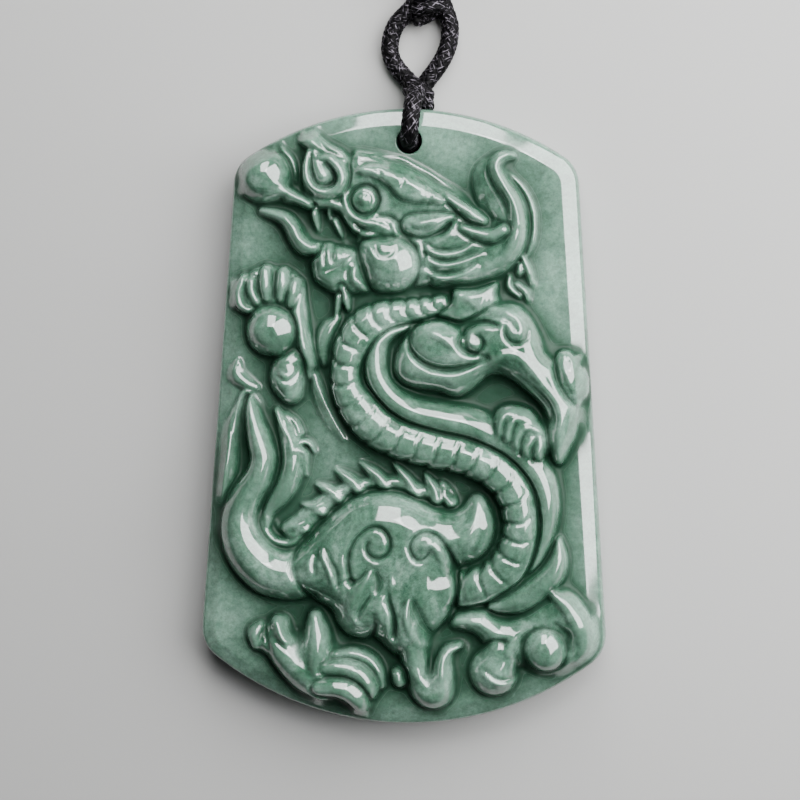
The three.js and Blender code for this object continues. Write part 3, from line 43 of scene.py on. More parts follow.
# Tablet, as in the CAD part
TABLET_WIDTH = 40.8
TABLET_HEIGHT = 61.5
TOP_WIDTH = 34.4
TOP_ARC_RADIUS = 28.5
FOOT_ARC_RADIUS = 31.0
TOP_CORNER_RADIUS = 3.5
FOOT_CORNER_RADIUS = 3.7
GROUND_THICKNESS = 5.0
RELIEF_SCALE = 0.93
RIM_WIDTH = 1.9
RIM_BEVEL = 1.35
RIM_ANGLE = 24.0
RIM_TURN = 0.45
RIM_DROP = 2.1
BACK_EDGE_ROUND = 1.0
TABLET_GRID = (224, 342)
HOLE_RADIUS = 1.25
HOLE_FLARE = 0.15
HOLE_X = 0.5
HOLE_Y = 27.45
GROOVE_HALF_WIDTH = 1.2
GROOVE_CENTRE_Z = 0.9

# Cord
CORD_RADIUS = 0.9
LAID = 0.95
CORD_SIDES = 48
BRAID_STRANDS = 6
BRAID_PITCH = 0.9
BRAID_DEPTH = 0.2
THREADS_A_STRAND = 5.0
THREADS_ALONG = 0.75
CORD_BLACK = (0.0012, 0.0011, 0.0014)
# painted highlight: grey on the tops of the threads
CORD_PAINTED_HIGHLIGHT = (0.15, 0.135, 0.16)
COIL_CENTRE = (2.4, 61.15)
COIL_TURN_RADII = (13.2, 11.4, 9.6, 7.8)
COIL_JOIN_RADIUS = 15.32
COIL_START_ANGLE = -112.0
CORD_PATH_STEP = 1.2
CORD_SHOWN_STEP = 0.1
CORD_COIL_STEP = 1.0

# Knots: middle of the wraps and radius of the strand
LOWER_KNOT_CENTRE = (1.15, 32.3, 1.75)
LOWER_KNOT_STRAND = 0.7
UPPER_KNOT_CENTRE = (2.1, 41.4, 1.65)
UPPER_KNOT_STRAND = 0.72

# Carving: how steep the flanks of a form are, and how deep the seam round a form in front is
FLANK = 0.7
SEAM_DEPTH = 0.55
SEAM_SPREAD = 0.5

# Sheet of carved heights: spacing, half size, and how softly creases are rounded
SHEET_PITCH = 0.1
SHEET_HALF_WIDTH = 20.6
SHEET_HALF_HEIGHT = 31.4
CREASE_SOFTNESS = 0.11

# How far around a place the material looks to call it a crevice or a hollow
CREVICE_REACH = 0.45
HOLLOW_REACH = 1.6
FRONT_LEVEL = 3.5

# Camera: lens and sensor, half width of the view, where it looks, and angles in degrees
CAMERA_LENS = 85
CAMERA_SENSOR = 36
CAMERA_HALF_VIEW = 40.0
CAMERA_TARGET = (-0.4, 1.85, 3.0)
CAMERA_RIGHT = 5.0
CAMERA_TO_HOLE = 3.5
CAMERA_ROLL = 0.36

# Jade colours as linear light: painted shade for the crevices and hollows, the jade's own clouds from dark
# to light, and a painted highlight for raised edges and ridges
# painted shade: colours for narrow crevices and for the broad hollows round the forms
CREVICE_PAINTED_SHADE = (0.003, 0.017, 0.008)
HOLLOW_PAINTED_SHADE = (0.01, 0.038, 0.02)
JADE_DARK = (0.022, 0.064, 0.038)
JADE_MIDDLE = (0.06, 0.128, 0.088)
JADE_LIGHT = (0.135, 0.23, 0.178)
# painted highlight: colour for raised edges and ridges
RIDGE_PAINTED_HIGHLIGHT = (0.16, 0.27, 0.21)

# Floor and lights
FLOOR_HALF_SIZE = 900.0
FLOOR_DEPTH = 0.02
FLOOR_GREY = (0.34, 0.34, 0.335, 1.0)
LIGHT_AIM = (0, 0, 4)


def make_camera():
    """Camera above the tablet, a little to the right and towards the hole, as in the photo."""
    data = bpy.data.cameras.new("camera")
    data.lens = CAMERA_LENS
    data.sensor_width = CAMERA_SENSOR
    camera = bpy.data.objects.new("camera", data)
    bpy.context.scene.collection.objects.link(camera)
    target = Vector(CAMERA_TARGET) * MM
    across = math.radians(CAMERA_RIGHT)
    along = math.radians(CAMERA_TO_HOLE)
    back = Vector((math.sin(across), math.sin(along), 1.0)).normalized()
    distance = CAMERA_HALF_VIEW * MM / math.tan(math.atan(data.sensor_width / 2 / data.lens))
    camera.location = target + back * distance
    up = Vector((0.0, 1.0, 0.0))
    side = up.cross(back).normalized()
    turned = back.cross(side)
    matrix = camera.matrix_world.to_3x3()
    for row in range(3):
        matrix[row] = (side[row], turned[row], back[row])
    camera.rotation_mode = "QUATERNION"
    roll = Matrix.Rotation(math.radians(CAMERA_ROLL), 3, "Z")
    camera.rotation_quaternion = (matrix @ roll).to_quaternion()
    data.clip_start = 0.01
    data.clip_end = 10.0
    bpy.context.scene.camera = camera


def smooth(points, step):
    """Places a step apart at most along a smooth line through points of any width."""
    points = np.array(points, float)
    ends = np.vstack([2 * points[0] - points[1], points, 2 * points[-1] - points[-2]])
    out = []
    for i in range(len(points) - 1):
        a, b, c, d = ends[i:i + 4]
        count = max(1, int(math.ceil(np.linalg.norm((c - b)[:3]) / step)))
        for t in np.arange(count) / count:
            out.append(0.5 * (2 * b + (c - a) * t + (2 * a - 5 * b + 4 * c - d) * t ** 2
                              + (3 * b - a - 3 * c + d) * t ** 3))
    out.append(points[-1])
    return np.array(out)


def cord_to_coil():
    """From the hole over the top edge, through both knots, up to the coil."""
    return [[0.5, 27.45, 2.75], [0.5, 27.4, 4.3], [0.55, 27.7, 5.6], [0.68, 28.7, 6.3],
            [0.82, 30.0, 6.3], [0.95, 31.2, 5.7], [1.05, 32.1, 4.2], [0.8, 32.9, 2.2],
            [0.05, 33.75, LAID], [-0.75, 34.6, LAID], [-1.45, 35.6, LAID], [-1.8, 36.7, LAID],
            [-1.7, 38.0, LAID], [-1.25, 39.2, LAID], [-0.6, 40.0, LAID], [0.4, 41.0, LAID],
            [1.0, 42.0, LAID], [1.1, 42.95, LAID], [0.55, 44.3, LAID], [-0.95, 45.8, LAID]]


def cord_from_coil():
    """From the coil back through both knots and under the tablet into the hole."""
    return [[5.6, 45.8, LAID], [4.0, 44.3, LAID], [3.3, 42.95, LAID], [3.3, 41.9, LAID],
            [3.7, 40.7, LAID], [4.15, 39.4, LAID], [4.2, 38.4, LAID], [4.05, 37.3, LAID],
            [3.55, 36.0, LAID], [2.8, 34.8, LAID], [2.05, 33.85, LAID], [1.3, 32.7, LAID],
            [0.7, 31.8, LAID], [0.55, 30.85, LAID], [0.5, 29.9, LAID], [0.5, 29.0, LAID],
            [0.5, 28.15, 1.0], [0.5, 27.62, 1.55], [0.5, 27.47, 2.5]]


def ease(value, start, end):
    """Smooth step from 0 at start to 1 at end."""
    share = min(1.0, max(0.0, (value - start) / (end - start)))
    return share * share * (3 - 2 * share)


def coil_place(turn):
    """Place on the coil after a number of turns, wound inwards below and outwards on top."""
    turns = len(COIL_TURN_RADII)
    radius = COIL_JOIN_RADIUS + (COIL_TURN_RADII[0] - COIL_JOIN_RADIUS) * ease(turn, 0.0, 0.17)
    for i in range(turns - 1):
        shift = COIL_TURN_RADII[i + 1] - COIL_TURN_RADII[i]
        radius += shift * ease(turn, i + 0.7, i + 0.87)
        radius -= shift * ease(turn, 2 * turns - 2 - i + 0.7, 2 * turns - 2 - i + 0.87)
    last = 2 * turns - 1
    radius += (COIL_JOIN_RADIUS - COIL_TURN_RADII[0]) * ease(turn, last + 0.66, last + 0.872)
    climb = ease(turn, turns - 0.3, turns - 0.1) - ease(turn, last + 0.68, last + 0.872)
    height = LAID + 2 * CORD_RADIUS * climb
    angle = math.radians(COIL_START_ANGLE) - turn * 2 * math.pi
    x = COIL_CENTRE[0] + radius * math.cos(angle)
    y = COIL_CENTRE[1] + radius * math.sin(angle)
    return [x, y, height]


def cord_route():
    """All the points of the one cord, from the hole through the coil and back to the hole."""
    turns = np.arange(0.0, 2 * len(COIL_TURN_RADII) - 1 + 0.87, 1 / 24)
    return cord_to_coil() + [coil_place(turn) for turn in turns] + cord_from_coil()


def ring_faces(rings, sides):
    """Faces between rings of points that follow one another."""
    faces = []
    for i in range(rings - 1):
        for j in range(sides):
            k = (j + 1) % sides
            faces.append((i * sides + j, i * sides + k, (i + 1) * sides + k, (i + 1) * sides + j))
    return faces


def end_faces(rings, sides):
    """Faces that close the first and the last ring."""
    return [tuple(reversed(range(sides))), tuple((rings - 1) * sides + j for j in range(sides))]


def tube_mesh(name, line, radii, sides):
    """Tube along a line of points, with a UV map: once round, and millimetres along."""
    line = np.array(line, float)
    along = np.gradient(line, axis=0)
    along /= np.linalg.norm(along, axis=1)[:, None]
    side = np.cross(along[0], [0.0, 0.0, 1.0])
    if np.linalg.norm(side) < 0.1:
        side = np.cross(along[0], [1.0, 0.0, 0.0])
    sides_of = []
    for direction in along:
        side = side - direction * side.dot(direction)
        side /= np.linalg.norm(side)
        sides_of.append(side)
    sides_of = np.array(sides_of)
    ups = np.cross(along, sides_of)
    steps = np.linalg.norm(np.diff(line, axis=0), axis=1)
    lengths = np.concatenate([[0.0], np.cumsum(steps)])
    angles = np.arange(sides) * 2 * math.pi / sides
    rings = (line[:, None, :] + radii[:, :, None]
             * (np.cos(angles)[None, :, None] * sides_of[:, None, :]
                + np.sin(angles)[None, :, None] * ups[:, None, :]))
    vertices = [tuple(v) for v in (rings.reshape(-1, 3) * MM)]
    faces = ring_faces(len(line), sides) + end_faces(len(line), sides)
    uvs = []
    for low, high in zip(lengths[:-1], lengths[1:]):
        for j in range(sides):
            u0, u1 = j / sides, (j + 1) / sides
            uvs.extend([(u0, low), (u1, low), (u1, high), (u0, high)])
    uvs.extend([(0.0, 0.0)] * sides)
    uvs.extend([(0.0, lengths[-1])] * sides)
    mesh = bpy.data.meshes.new(name)
    mesh.from_pydata(vertices, [], faces)
    layer = mesh.uv_layers.new(name="UVMap")
    layer.data.foreach_set("uv", np.array(uvs, np.float32).ravel())
    mesh.polygons.foreach_set("use_smooth", [True] * len(mesh.polygons))
    piece = bpy.data.objects.new(name, mesh)
    bpy.context.scene.collection.objects.link(piece)
    return piece


def braid_height(around, along):
    """Height from 0 to 1 of a braid: around in turns, along in millimetres."""
    right = BRAID_STRANDS * around + along / BRAID_PITCH
    left = BRAID_STRANDS * around - along / BRAID_PITCH
    over = np.sin(np.pi * (right % 1)) ** 0.7
    under = np.sin(np.pi * (left % 1)) ** 0.7
    front = (np.floor(right) + np.floor(left)) % 2
    return np.where(front > 0.5, np.maximum(over, 0.55 * under), np.maximum(under, 0.55 * over))


def cord_radii(line, sides, shown):
    """Radius at each place of the cord, with its braid where it is shown."""
    steps = np.linalg.norm(np.diff(line, axis=0), axis=1)
    lengths = np.concatenate([[0.0], np.cumsum(steps)])[:, None]
    turns = (np.arange(sides) / sides)[None, :]
    braid = braid_height(turns, lengths) * shown[:, None]
    plain = 0.6 * (1 - shown[:, None])
    return CORD_RADIUS - BRAID_DEPTH * (1 - braid - plain)


def make_cord():
    """The black braided cord as one tube, finer where it is in view."""
    route = cord_route()
    near = len(cord_to_coil())
    far = len(cord_from_coil())
    path = smooth(route, CORD_PATH_STEP)
    first = smooth(route[:near + 1], CORD_SHOWN_STEP)[:-1]
    coil = smooth(route[near:-far], CORD_COIL_STEP)
    last = smooth(route[-far - 1:], CORD_SHOWN_STEP)[1:]
    line = np.vstack([first, coil, last])
    shown = np.repeat([1.0, 0.0, 1.0], [len(first), len(coil), len(last)])
    cord = tube_mesh("braided_cord", line, cord_radii(line, CORD_SIDES, shown), CORD_SIDES)
    return cord, path


def closed_smooth(outline, step=0.3):
    """Places along a smooth closed line through the outline's points."""
    points = np.array(outline, float)
    count = len(points)
    out = []
    for i in range(count):
        a, b, c, d = points[i - 1], points[i], points[(i + 1) % count], points[(i + 2) % count]
        parts = max(1, int(math.ceil(np.hypot(*(c - b)) / step)))
        for t in np.arange(parts) / parts:
            out.append(0.5 * (2 * b + (c - a) * t + (2 * a - 5 * b + 4 * c - d) * t * t
                              + (3 * b - a - 3 * c + d) * t ** 3))
    return np.array(out)


def curve(path, step=0.3):
    """A smooth line through x, y, half width, height points."""
    if len(path) == 1:
        path = [path[0], path[0]]
    line = smooth(path, step)
    line[:, 2] = np.maximum(line[:, 2], 0.08)
    return line


def rounded(share):
    """Quarter-round rise from 0 at the edge to 1 at the top."""
    return np.sqrt(np.clip(1 - (1 - share) ** 2, 0, 1))


def domed(share):
    """Rise from 0 at the edge to 1 at the top of a carved form, with sloping flanks."""
    return np.clip(1 - (1 - share) ** 2, 0, 1) ** FLANK


def soft_step(share):
    """Smooth rise from 0 to 1."""
    share = np.clip(share, 0, 1)
    return share * share * (3 - 2 * share)


class Carving:
    """Relief height over the tablet's front, in mm above the carved ground."""

    def __init__(self):
        self.pitch = pitch = SHEET_PITCH
        self.x = np.arange(-SHEET_HALF_WIDTH, SHEET_HALF_WIDTH + pitch / 2, pitch)
        self.y = np.arange(-SHEET_HALF_HEIGHT, SHEET_HALF_HEIGHT + pitch / 2, pitch)
        self.z = np.zeros((len(self.y), len(self.x)))

    def window(self, line, reach):
        """The cells that a line can touch, with their places."""
        low = line[:, :2].min(axis=0) - reach
        high = line[:, :2].max(axis=0) + reach
        i0, i1 = np.searchsorted(self.x, [low[0], high[0]])
        j0, j1 = np.searchsorted(self.y, [low[1], high[1]])
        across, up = np.meshgrid(self.x[i0:i1], self.y[j0:j1])
        return (slice(j0, j1), slice(i0, i1)), across, up

    def along(self, path, reach):
        """Share of the half width, distance past the edge, and stroke height at each cell."""
        line = curve(path)
        cells, across, up = self.window(line, line[:, 2].max() + reach)
        share = np.full(across.shape, 99.0)
        past = np.full(across.shape, 99.0)
        height = np.zeros(across.shape)
        for a, b in zip(line[:-1], line[1:]):
            far = max(a[2], b[2]) + reach
            near = np.abs(across - (a[0] + b[0]) / 2) < far + abs(a[0] - b[0]) / 2
            near &= np.abs(up - (a[1] + b[1]) / 2) < far + abs(a[1] - b[1]) / 2
            x, y = across[near], up[near]
            dx, dy = b[0] - a[0], b[1] - a[1]
            t = np.clip(((x - a[0]) * dx + (y - a[1]) * dy) / max(dx * dx + dy * dy, 1e-9), 0, 1)
            away = np.hypot(x - a[0] - t * dx, y - a[1] - t * dy)
            half = a[2] + (b[2] - a[2]) * t
            nearer = away / half < share[near]
            where = np.flatnonzero(near.ravel())[nearer]
            share.ravel()[where] = (away / half)[nearer]
            past.ravel()[where] = (away - half)[nearer]
            height.ravel()[where] = (a[3] + (b[3] - a[3]) * t)[nearer]
        return cells, share, past, height

    def grow(self, path, foot=0.0):
        """A rounded ridge that melts into whatever stands higher."""
        cells, share, _, height = self.along(path, 0.1)
        rise = foot + (height - foot) * domed(1 - share)
        z = self.z[cells]
        z[share < 1] = np.maximum(z, rise)[share < 1]

    def ground_for(self, cells, foot):
        """What a form in front starts from: the surface below it evened out, and a little lower."""
        return np.maximum(foot, self.softened(SEAM_SPREAD, self.z[cells]) - SEAM_DEPTH)

    def over(self, path, foot=0.3, seam=0.4, fullness=2.0):
        """A rounded form that lies in front, with a shallow seam round it."""
        cells, share, past, height = self.along(path, seam)
        z = self.z[cells]
        ground = self.ground_for(cells, foot)
        start = np.minimum(ground, np.maximum(foot, height - 0.2))
        rise = start + (height - start) * domed(1 - share ** (fullness / 2))
        beside = (past >= 0) & (past < seam)
        groove = np.minimum(z, ground + (z - ground) * soft_step(past / seam))
        z[share < 1] = rise[share < 1]
        z[beside] = groove[beside]

    def swell(self, path):
        """A soft raised line added to the surface below it."""
        cells, share, _, height = self.along(path, 0.0)
        self.z[cells] += height * np.clip(1 - share ** 2, 0, 1) ** 2

    def cut(self, path):
        """A soft groove taken out of the surface."""
        cells, share, _, height = self.along(path, 0.0)
        self.z[cells] -= height * np.clip(1 - share ** 2, 0, 1) ** 2

    def depth_in(self, outline, reach):
        """Distance inside a closed outline, negative outside."""
        ring = closed_smooth(outline)
        cells, across, up = self.window(ring, reach)
        away = np.full(across.shape, 99.0)
        inside = np.zeros(across.shape, bool)
        for a, b in zip(ring, np.roll(ring, -1, axis=0)):
            dx, dy = b[0] - a[0], b[1] - a[1]
            t = np.clip(((across - a[0]) * dx + (up - a[1]) * dy) / max(dx * dx + dy * dy, 1e-9), 0, 1)
            away = np.minimum(away, np.hypot(across - a[0] - t * dx, up - a[1] - t * dy))
            crosses = (a[1] > up) != (b[1] > up)
            inside ^= crosses & (across < a[0] + (up - a[1]) / (dy if dy else 1e-9) * dx)
        return cells, np.where(inside, away, -away)

    def mass(self, outline, top, edge, foot=0.0):
        """A plateau with rounded sides, joined to whatever stands higher."""
        cells, depth = self.depth_in(outline, 0.1)
        rise = foot + (top - foot) * domed(np.clip(depth / edge, 0, 1))
        z = self.z[cells]
        z[depth > 0] = np.maximum(z, rise)[depth > 0]

    def lay(self, outline, top, edge, foot, seam):
        """A plateau that lies in front, with a shallow seam round it."""
        cells, depth = self.depth_in(outline, seam + 0.1)
        z = self.z[cells]
        ground = self.ground_for(cells, foot)
        start = np.minimum(ground, top - 0.2)
        rise = start + (top - start) * domed(np.clip(depth / edge, 0, 1))
        beside = (depth <= 0) & (depth > -seam)
        groove = np.minimum(z, ground + (z - ground) * soft_step(-depth / seam))
        z[depth > 0] = rise[depth > 0]
        z[beside] = groove[beside]

    def press(self, outline, level, edge):
        """A pocket pressed down to a level, with sloping sides."""
        cells, depth = self.depth_in(outline, 0.1)
        z = self.z[cells]
        z += (np.minimum(z, level) - z) * soft_step(depth / edge)

    def lift(self, outline, height, edge):
        """A soft plateau added to the surface below it."""
        cells, depth = self.depth_in(outline, 0.1)
        self.z[cells] += height * soft_step(depth / edge)

    def softened(self, radius, heights=None):
        """The heights with every crease rounded by about a radius."""
        heights = self.z if heights is None else heights
        reach = max(1, int(round(3 * radius / self.pitch)))
        weights = np.exp(-0.5 * (np.arange(-reach, reach + 1) * self.pitch / radius) ** 2)
        weights /= weights.sum()
        z = np.pad(heights, reach, mode="edge")
        z = sum(w * z[:, i:i + heights.shape[1]] for i, w in enumerate(weights))
        return sum(w * z[i:i + heights.shape[0], :] for i, w in enumerate(weights))

    def fill_seams(self, radius, depth, share):
        """Fills narrow seams, so that little is deeper than a depth below what is round it."""
        below = self.softened(radius) - self.z - depth
        self.z += share * np.maximum(below, 0)

    def read(self, heights, x, y):
        """Values of a grid of heights at places on the sheet."""
        across = np.clip((x - self.x[0]) / self.pitch, 0, len(self.x) - 1.001)
        up = np.clip((y - self.y[0]) / self.pitch, 0, len(self.y) - 1.001)
        i, j = across.astype(int), up.astype(int)
        s, t = across - i, up - j
        low = heights[j, i] * (1 - s) + heights[j, i + 1] * s
        high = heights[j + 1, i] * (1 - s) + heights[j + 1, i + 1] * s
        return low * (1 - t) + high * t


def face_mass(s):
    """The low mass that carries snout, face and mane."""
    s.mass([[-9.6, 27.4], [-8.6, 28.2], [-7.4, 27.0], [-5.6, 26.0], [-4.4, 26.5],
            [-1.5, 25.7], [1.2, 24.7], [3.3, 23.4], [5.6, 22.2], [6.9, 21.1],
            [8.4, 19.9], [10.6, 19.6], [12.1, 18.6], [11.6, 16.6], [9.0, 14.3],
            [6.0, 13.4], [3.0, 13.2], [1.0, 13.0], [-3.4, 13.2], [-4.6, 16.6],
            [-4.9, 18.6], [-6.6, 20.3], [-8.2, 21.0], [-9.9, 21.3], [-10.0, 23.6]],
           1.9, 1.8, 0.0)


def mane(s):
    """The long curved horn and mane that sweeps behind the head."""
    s.grow([[8.8, 25.4, 0.7, 0.8], [8.1, 24.2, 1.3, 1.2], [8.7, 22.6, 1.9, 1.6],
            [9.6, 20.9, 2.2, 1.9], [10.2, 19.2, 2.1, 2.2], [9.9, 17.4, 2.1, 2.3],
            [8.6, 16.0, 2.2, 2.3], [6.2, 15.2, 2.2, 2.2], [3.6, 14.8, 1.9, 2.0]])
    s.grow([[10.6, 26.0, 0.35, 1.6], [9.6, 25.8, 0.7, 2.1], [9.0, 24.8, 0.85, 2.4],
            [9.6, 23.3, 1.0, 2.7], [10.7, 21.5, 1.15, 2.9], [11.1, 19.7, 1.25, 3.0],
            [11.0, 18.1, 1.3, 3.0], [10.4, 16.7, 1.3, 2.8], [8.8, 15.3, 1.3, 2.5],
            [6.4, 14.5, 1.2, 2.3], [3.4, 14.1, 1.0, 2.1]])
    s.swell([[10.4, 26.1, 0.3, 0.3], [9.4, 25.5, 0.4, 0.4], [9.2, 24.6, 0.4, 0.4],
             [10.0, 23.0, 0.45, 0.4], [11.0, 21.1, 0.5, 0.35], [11.5, 19.2, 0.5, 0.2]])
    s.grow([[10.0, 24.6, 0.2, 0.5], [11.6, 23.0, 0.3, 0.8], [12.55, 21.3, 0.32, 0.9],
            [12.85, 19.5, 0.32, 0.9], [12.7, 17.6, 0.3, 0.8], [12.2, 16.3, 0.2, 0.5]])
    s.press([[8.3, 22.6], [9.0, 20.8], [9.9, 19.5], [8.4, 19.0], [7.0, 20.4], [6.4, 22.2]], 0.8, 1.5)


def mane_locks(s):
    """Hair lines over the mane and the two short locks behind the ear."""
    s.over([[4.4, 21.9, 0.35, 2.4], [5.6, 21.0, 0.6, 2.6], [6.9, 20.1, 0.75, 2.8],
            [7.9, 19.6, 0.5, 2.6]], 1.2, 0.3)
    s.over([[5.9, 18.9, 0.4, 2.3], [7.2, 18.4, 0.7, 2.5], [8.7, 18.1, 0.8, 2.8],
            [9.9, 18.7, 0.7, 2.9]], 1.3, 0.25)
    for y, end_x, end_y in [(17.5, 7.3, 18.0), (16.5, 8.0, 16.9), (15.2, 7.4, 15.7)]:
        s.cut([[2.2, y, 0.2, 0.3], [3.6, y - 0.7, 0.36, 0.5], [5.6, y - 0.5, 0.3, 0.4],
               [end_x, end_y, 0.15, 0.2]])
        s.swell([[2.4, y - 0.6, 0.2, 0.2], [3.9, y - 1.25, 0.34, 0.5], [5.7, y - 1.0, 0.3, 0.4],
                 [end_x, end_y - 0.5, 0.15, 0.2]])
    s.cut([[1.9, 17.6, 0.2, 0.4], [2.2, 16.6, 0.3, 0.5], [2.1, 15.2, 0.3, 0.4]])
    s.swell([[4.9, 18.3, 0.3, 0.3], [3.6, 17.5, 0.35, 0.3], [2.7, 17.1, 0.2, 0.2]])


def mane_flames(s):
    """Small flame tufts on the ground below the mane."""
    s.grow([[11.8, 16.1, 0.3, 1.0], [12.3, 14.9, 0.45, 1.2], [12.7, 13.5, 0.25, 0.8]])
    s.grow([[11.5, 15.4, 0.3, 1.0], [11.5, 14.7, 0.45, 1.2]])
    s.grow([[10.5, 14.2, 0.25, 1.0], [10.5, 13.2, 0.35, 1.2], [11.5, 12.3, 0.25, 0.9]])
    s.grow([[11.2, 13.5, 0.25, 0.9], [12.0, 12.8, 0.4, 1.1], [12.35, 11.9, 0.2, 0.8]])


def brow(s):
    """Brow crest of two folds and the leaf-shaped plate over the eye, with its hair lines."""
    s.lift([[-4.7, 24.6], [-3.4, 25.1], [-1.6, 24.9], [0.3, 24.2], [2.5, 23.0], [4.2, 21.9],
            [4.6, 21.2], [2.8, 21.2], [1.0, 21.3], [-0.3, 21.7], [-1.4, 22.9],
            [-2.8, 23.7], [-4.2, 24.0]], 0.8, 0.4)
    s.cut([[-5.0, 25.7, 0.2, 0.25], [-3.4, 25.45, 0.26, 0.35], [-1.4, 25.25, 0.26, 0.35],
           [0.6, 24.6, 0.26, 0.35], [2.7, 23.5, 0.26, 0.35], [4.5, 22.3, 0.2, 0.25]])
    for side, lift in [[0.0, 0.5], [0.62, 0.3]]:
        s.swell([[-4.8, 26.4 - side, 0.25, lift], [-3.0, 26.2 - side, 0.3, lift],
                 [-1.6, 25.9 - side, 0.3, lift], [-0.2, 25.6 - side, 0.3, lift],
                 [1.1, 25.0 - side, 0.3, lift], [2.4, 24.3 - side, 0.3, lift],
                 [3.8, 23.4 - side, 0.3, lift], [5.4, 22.4 - side, 0.3, lift],
                 [6.8, 21.2 - side, 0.2, lift]])
    for x, y in [(-4.1, 25.0), (-1.9, 24.55), (0.3, 23.7)]:
        s.cut([[x, y, 0.12, 0.15], [x + 1.5, y - 0.35, 0.2, 0.3], [x + 2.1, y - 1.1, 0.2, 0.3],
               [x + 1.7, y - 1.7, 0.12, 0.15]])
    s.cut([[2.9, 22.4, 0.12, 0.2], [2.8, 21.7, 0.2, 0.35], [2.5, 21.1, 0.12, 0.2]])


def ring_line(x, y, radius, half, depth):
    """Points of a circle for a stroke of one width and depth."""
    places = [(1, 0), (0.7, 0.7), (0, 1), (-0.7, 0.7), (-1, 0), (-0.7, -0.7), (0, -1), (0.7, -0.7), (1, 0)]
    return [[x + radius * a, y + radius * b, half, depth] for a, b in places]


def eye(s):
    """Round eye in its ringed socket with the folds of skin below."""
    s.cut(ring_line(-3.7, 21.6, 1.45, 0.4, 0.8))
    s.swell([[-3.7, 21.65, 1.1, 0.3], [-3.6, 21.6, 1.1, 0.3]])
    s.cut(ring_line(-3.75, 21.6, 0.72, 0.2, 0.3))
    s.swell([[-3.8, 21.6, 0.35, 0.25], [-3.75, 21.6, 0.35, 0.25]])
    s.cut([[-2.3, 20.15, 0.3, 0.6], [-1.2, 20.0, 0.3, 0.6], [-0.4, 19.4, 0.3, 0.6],
           [-0.2, 18.5, 0.3, 0.6], [0.6, 17.8, 0.35, 0.6], [1.4, 17.0, 0.35, 0.6]])
    s.swell([[-5.7, 22.2, 0.25, 0.3], [-5.5, 21.2, 0.35, 0.5], [-4.9, 20.1, 0.4, 0.6],
             [-3.9, 19.4, 0.45, 0.6], [-2.4, 19.2, 0.4, 0.5], [-1.2, 18.6, 0.3, 0.3]])
    s.cut([[-5.2, 19.7, 0.2, 0.3], [-4.3, 18.95, 0.25, 0.4], [-3.2, 18.55, 0.25, 0.4],
           [-1.8, 18.2, 0.2, 0.3]])
    s.swell([[-4.6, 18.9, 0.25, 0.3], [-3.9, 18.3, 0.3, 0.4], [-2.2, 17.9, 0.3, 0.4],
             [-0.5, 17.3, 0.3, 0.3]])
    s.swell([[-0.9, 19.2, 0.3, 0.4], [-0.5, 18.3, 0.3, 0.4], [0.2, 17.6, 0.3, 0.3]])


def snout(s):
    """Nose wing curled round the nostril, upper lip and fold lines."""
    s.over([[-9.2, 26.2, 0.35, 2.0], [-9.35, 24.8, 0.6, 2.5], [-9.1, 23.4, 0.75, 2.7],
            [-8.0, 22.45, 0.8, 2.8], [-6.7, 22.4, 0.75, 2.8], [-5.9, 23.3, 0.7, 2.8],
            [-6.1, 24.5, 0.75, 2.9], [-7.0, 25.5, 0.7, 2.8], [-8.1, 25.7, 0.4, 2.4]], 1.2, 0.3)
    s.grow([[-8.7, 26.2, 0.5, 2.0], [-8.3, 25.0, 0.85, 2.5], [-7.8, 23.95, 1.0, 2.8]], 1.2)
    s.cut([[-9.0, 25.9, 0.2, 0.5], [-8.95, 24.4, 0.3, 0.8], [-8.6, 23.3, 0.3, 0.9],
           [-7.7, 22.8, 0.3, 0.9], [-6.8, 23.1, 0.3, 0.9], [-6.55, 23.9, 0.3, 0.8],
           [-6.9, 24.7, 0.25, 0.6], [-7.5, 25.3, 0.2, 0.3]])
    s.grow([[-9.9, 27.6, 0.6, 1.4], [-9.0, 27.2, 0.9, 1.9], [-7.9, 26.6, 0.8, 2.0],
            [-6.6, 26.1, 0.7, 2.0], [-5.6, 25.4, 0.6, 2.0]])
    s.swell([[-8.6, 28.0, 0.25, 0.5], [-7.8, 27.4, 0.3, 0.6], [-7.3, 26.8, 0.3, 0.6],
             [-6.4, 26.3, 0.3, 0.6], [-5.7, 26.0, 0.2, 0.4]])
    s.cut([[-8.6, 27.6, 0.15, 0.3], [-7.7, 26.75, 0.2, 0.45], [-6.6, 26.15, 0.2, 0.45],
           [-5.7, 25.7, 0.2, 0.4]])
    s.swell([[-10.0, 28.3, 0.25, 0.6], [-10.2, 27.9, 0.2, 0.4]])
    s.cut([[-5.3, 25.6, 0.25, 0.5], [-5.1, 24.6, 0.25, 0.5], [-5.2, 23.4, 0.25, 0.5],
           [-5.6, 22.5, 0.2, 0.3]])
    s.grow([[-10.0, 21.7, 0.5, 1.9], [-8.6, 21.4, 0.7, 2.1], [-7.0, 21.3, 0.7, 2.1],
            [-5.9, 20.8, 0.6, 2.0], [-5.2, 19.8, 0.6, 1.9], [-4.6, 18.8, 0.5, 1.9]], 0.4)


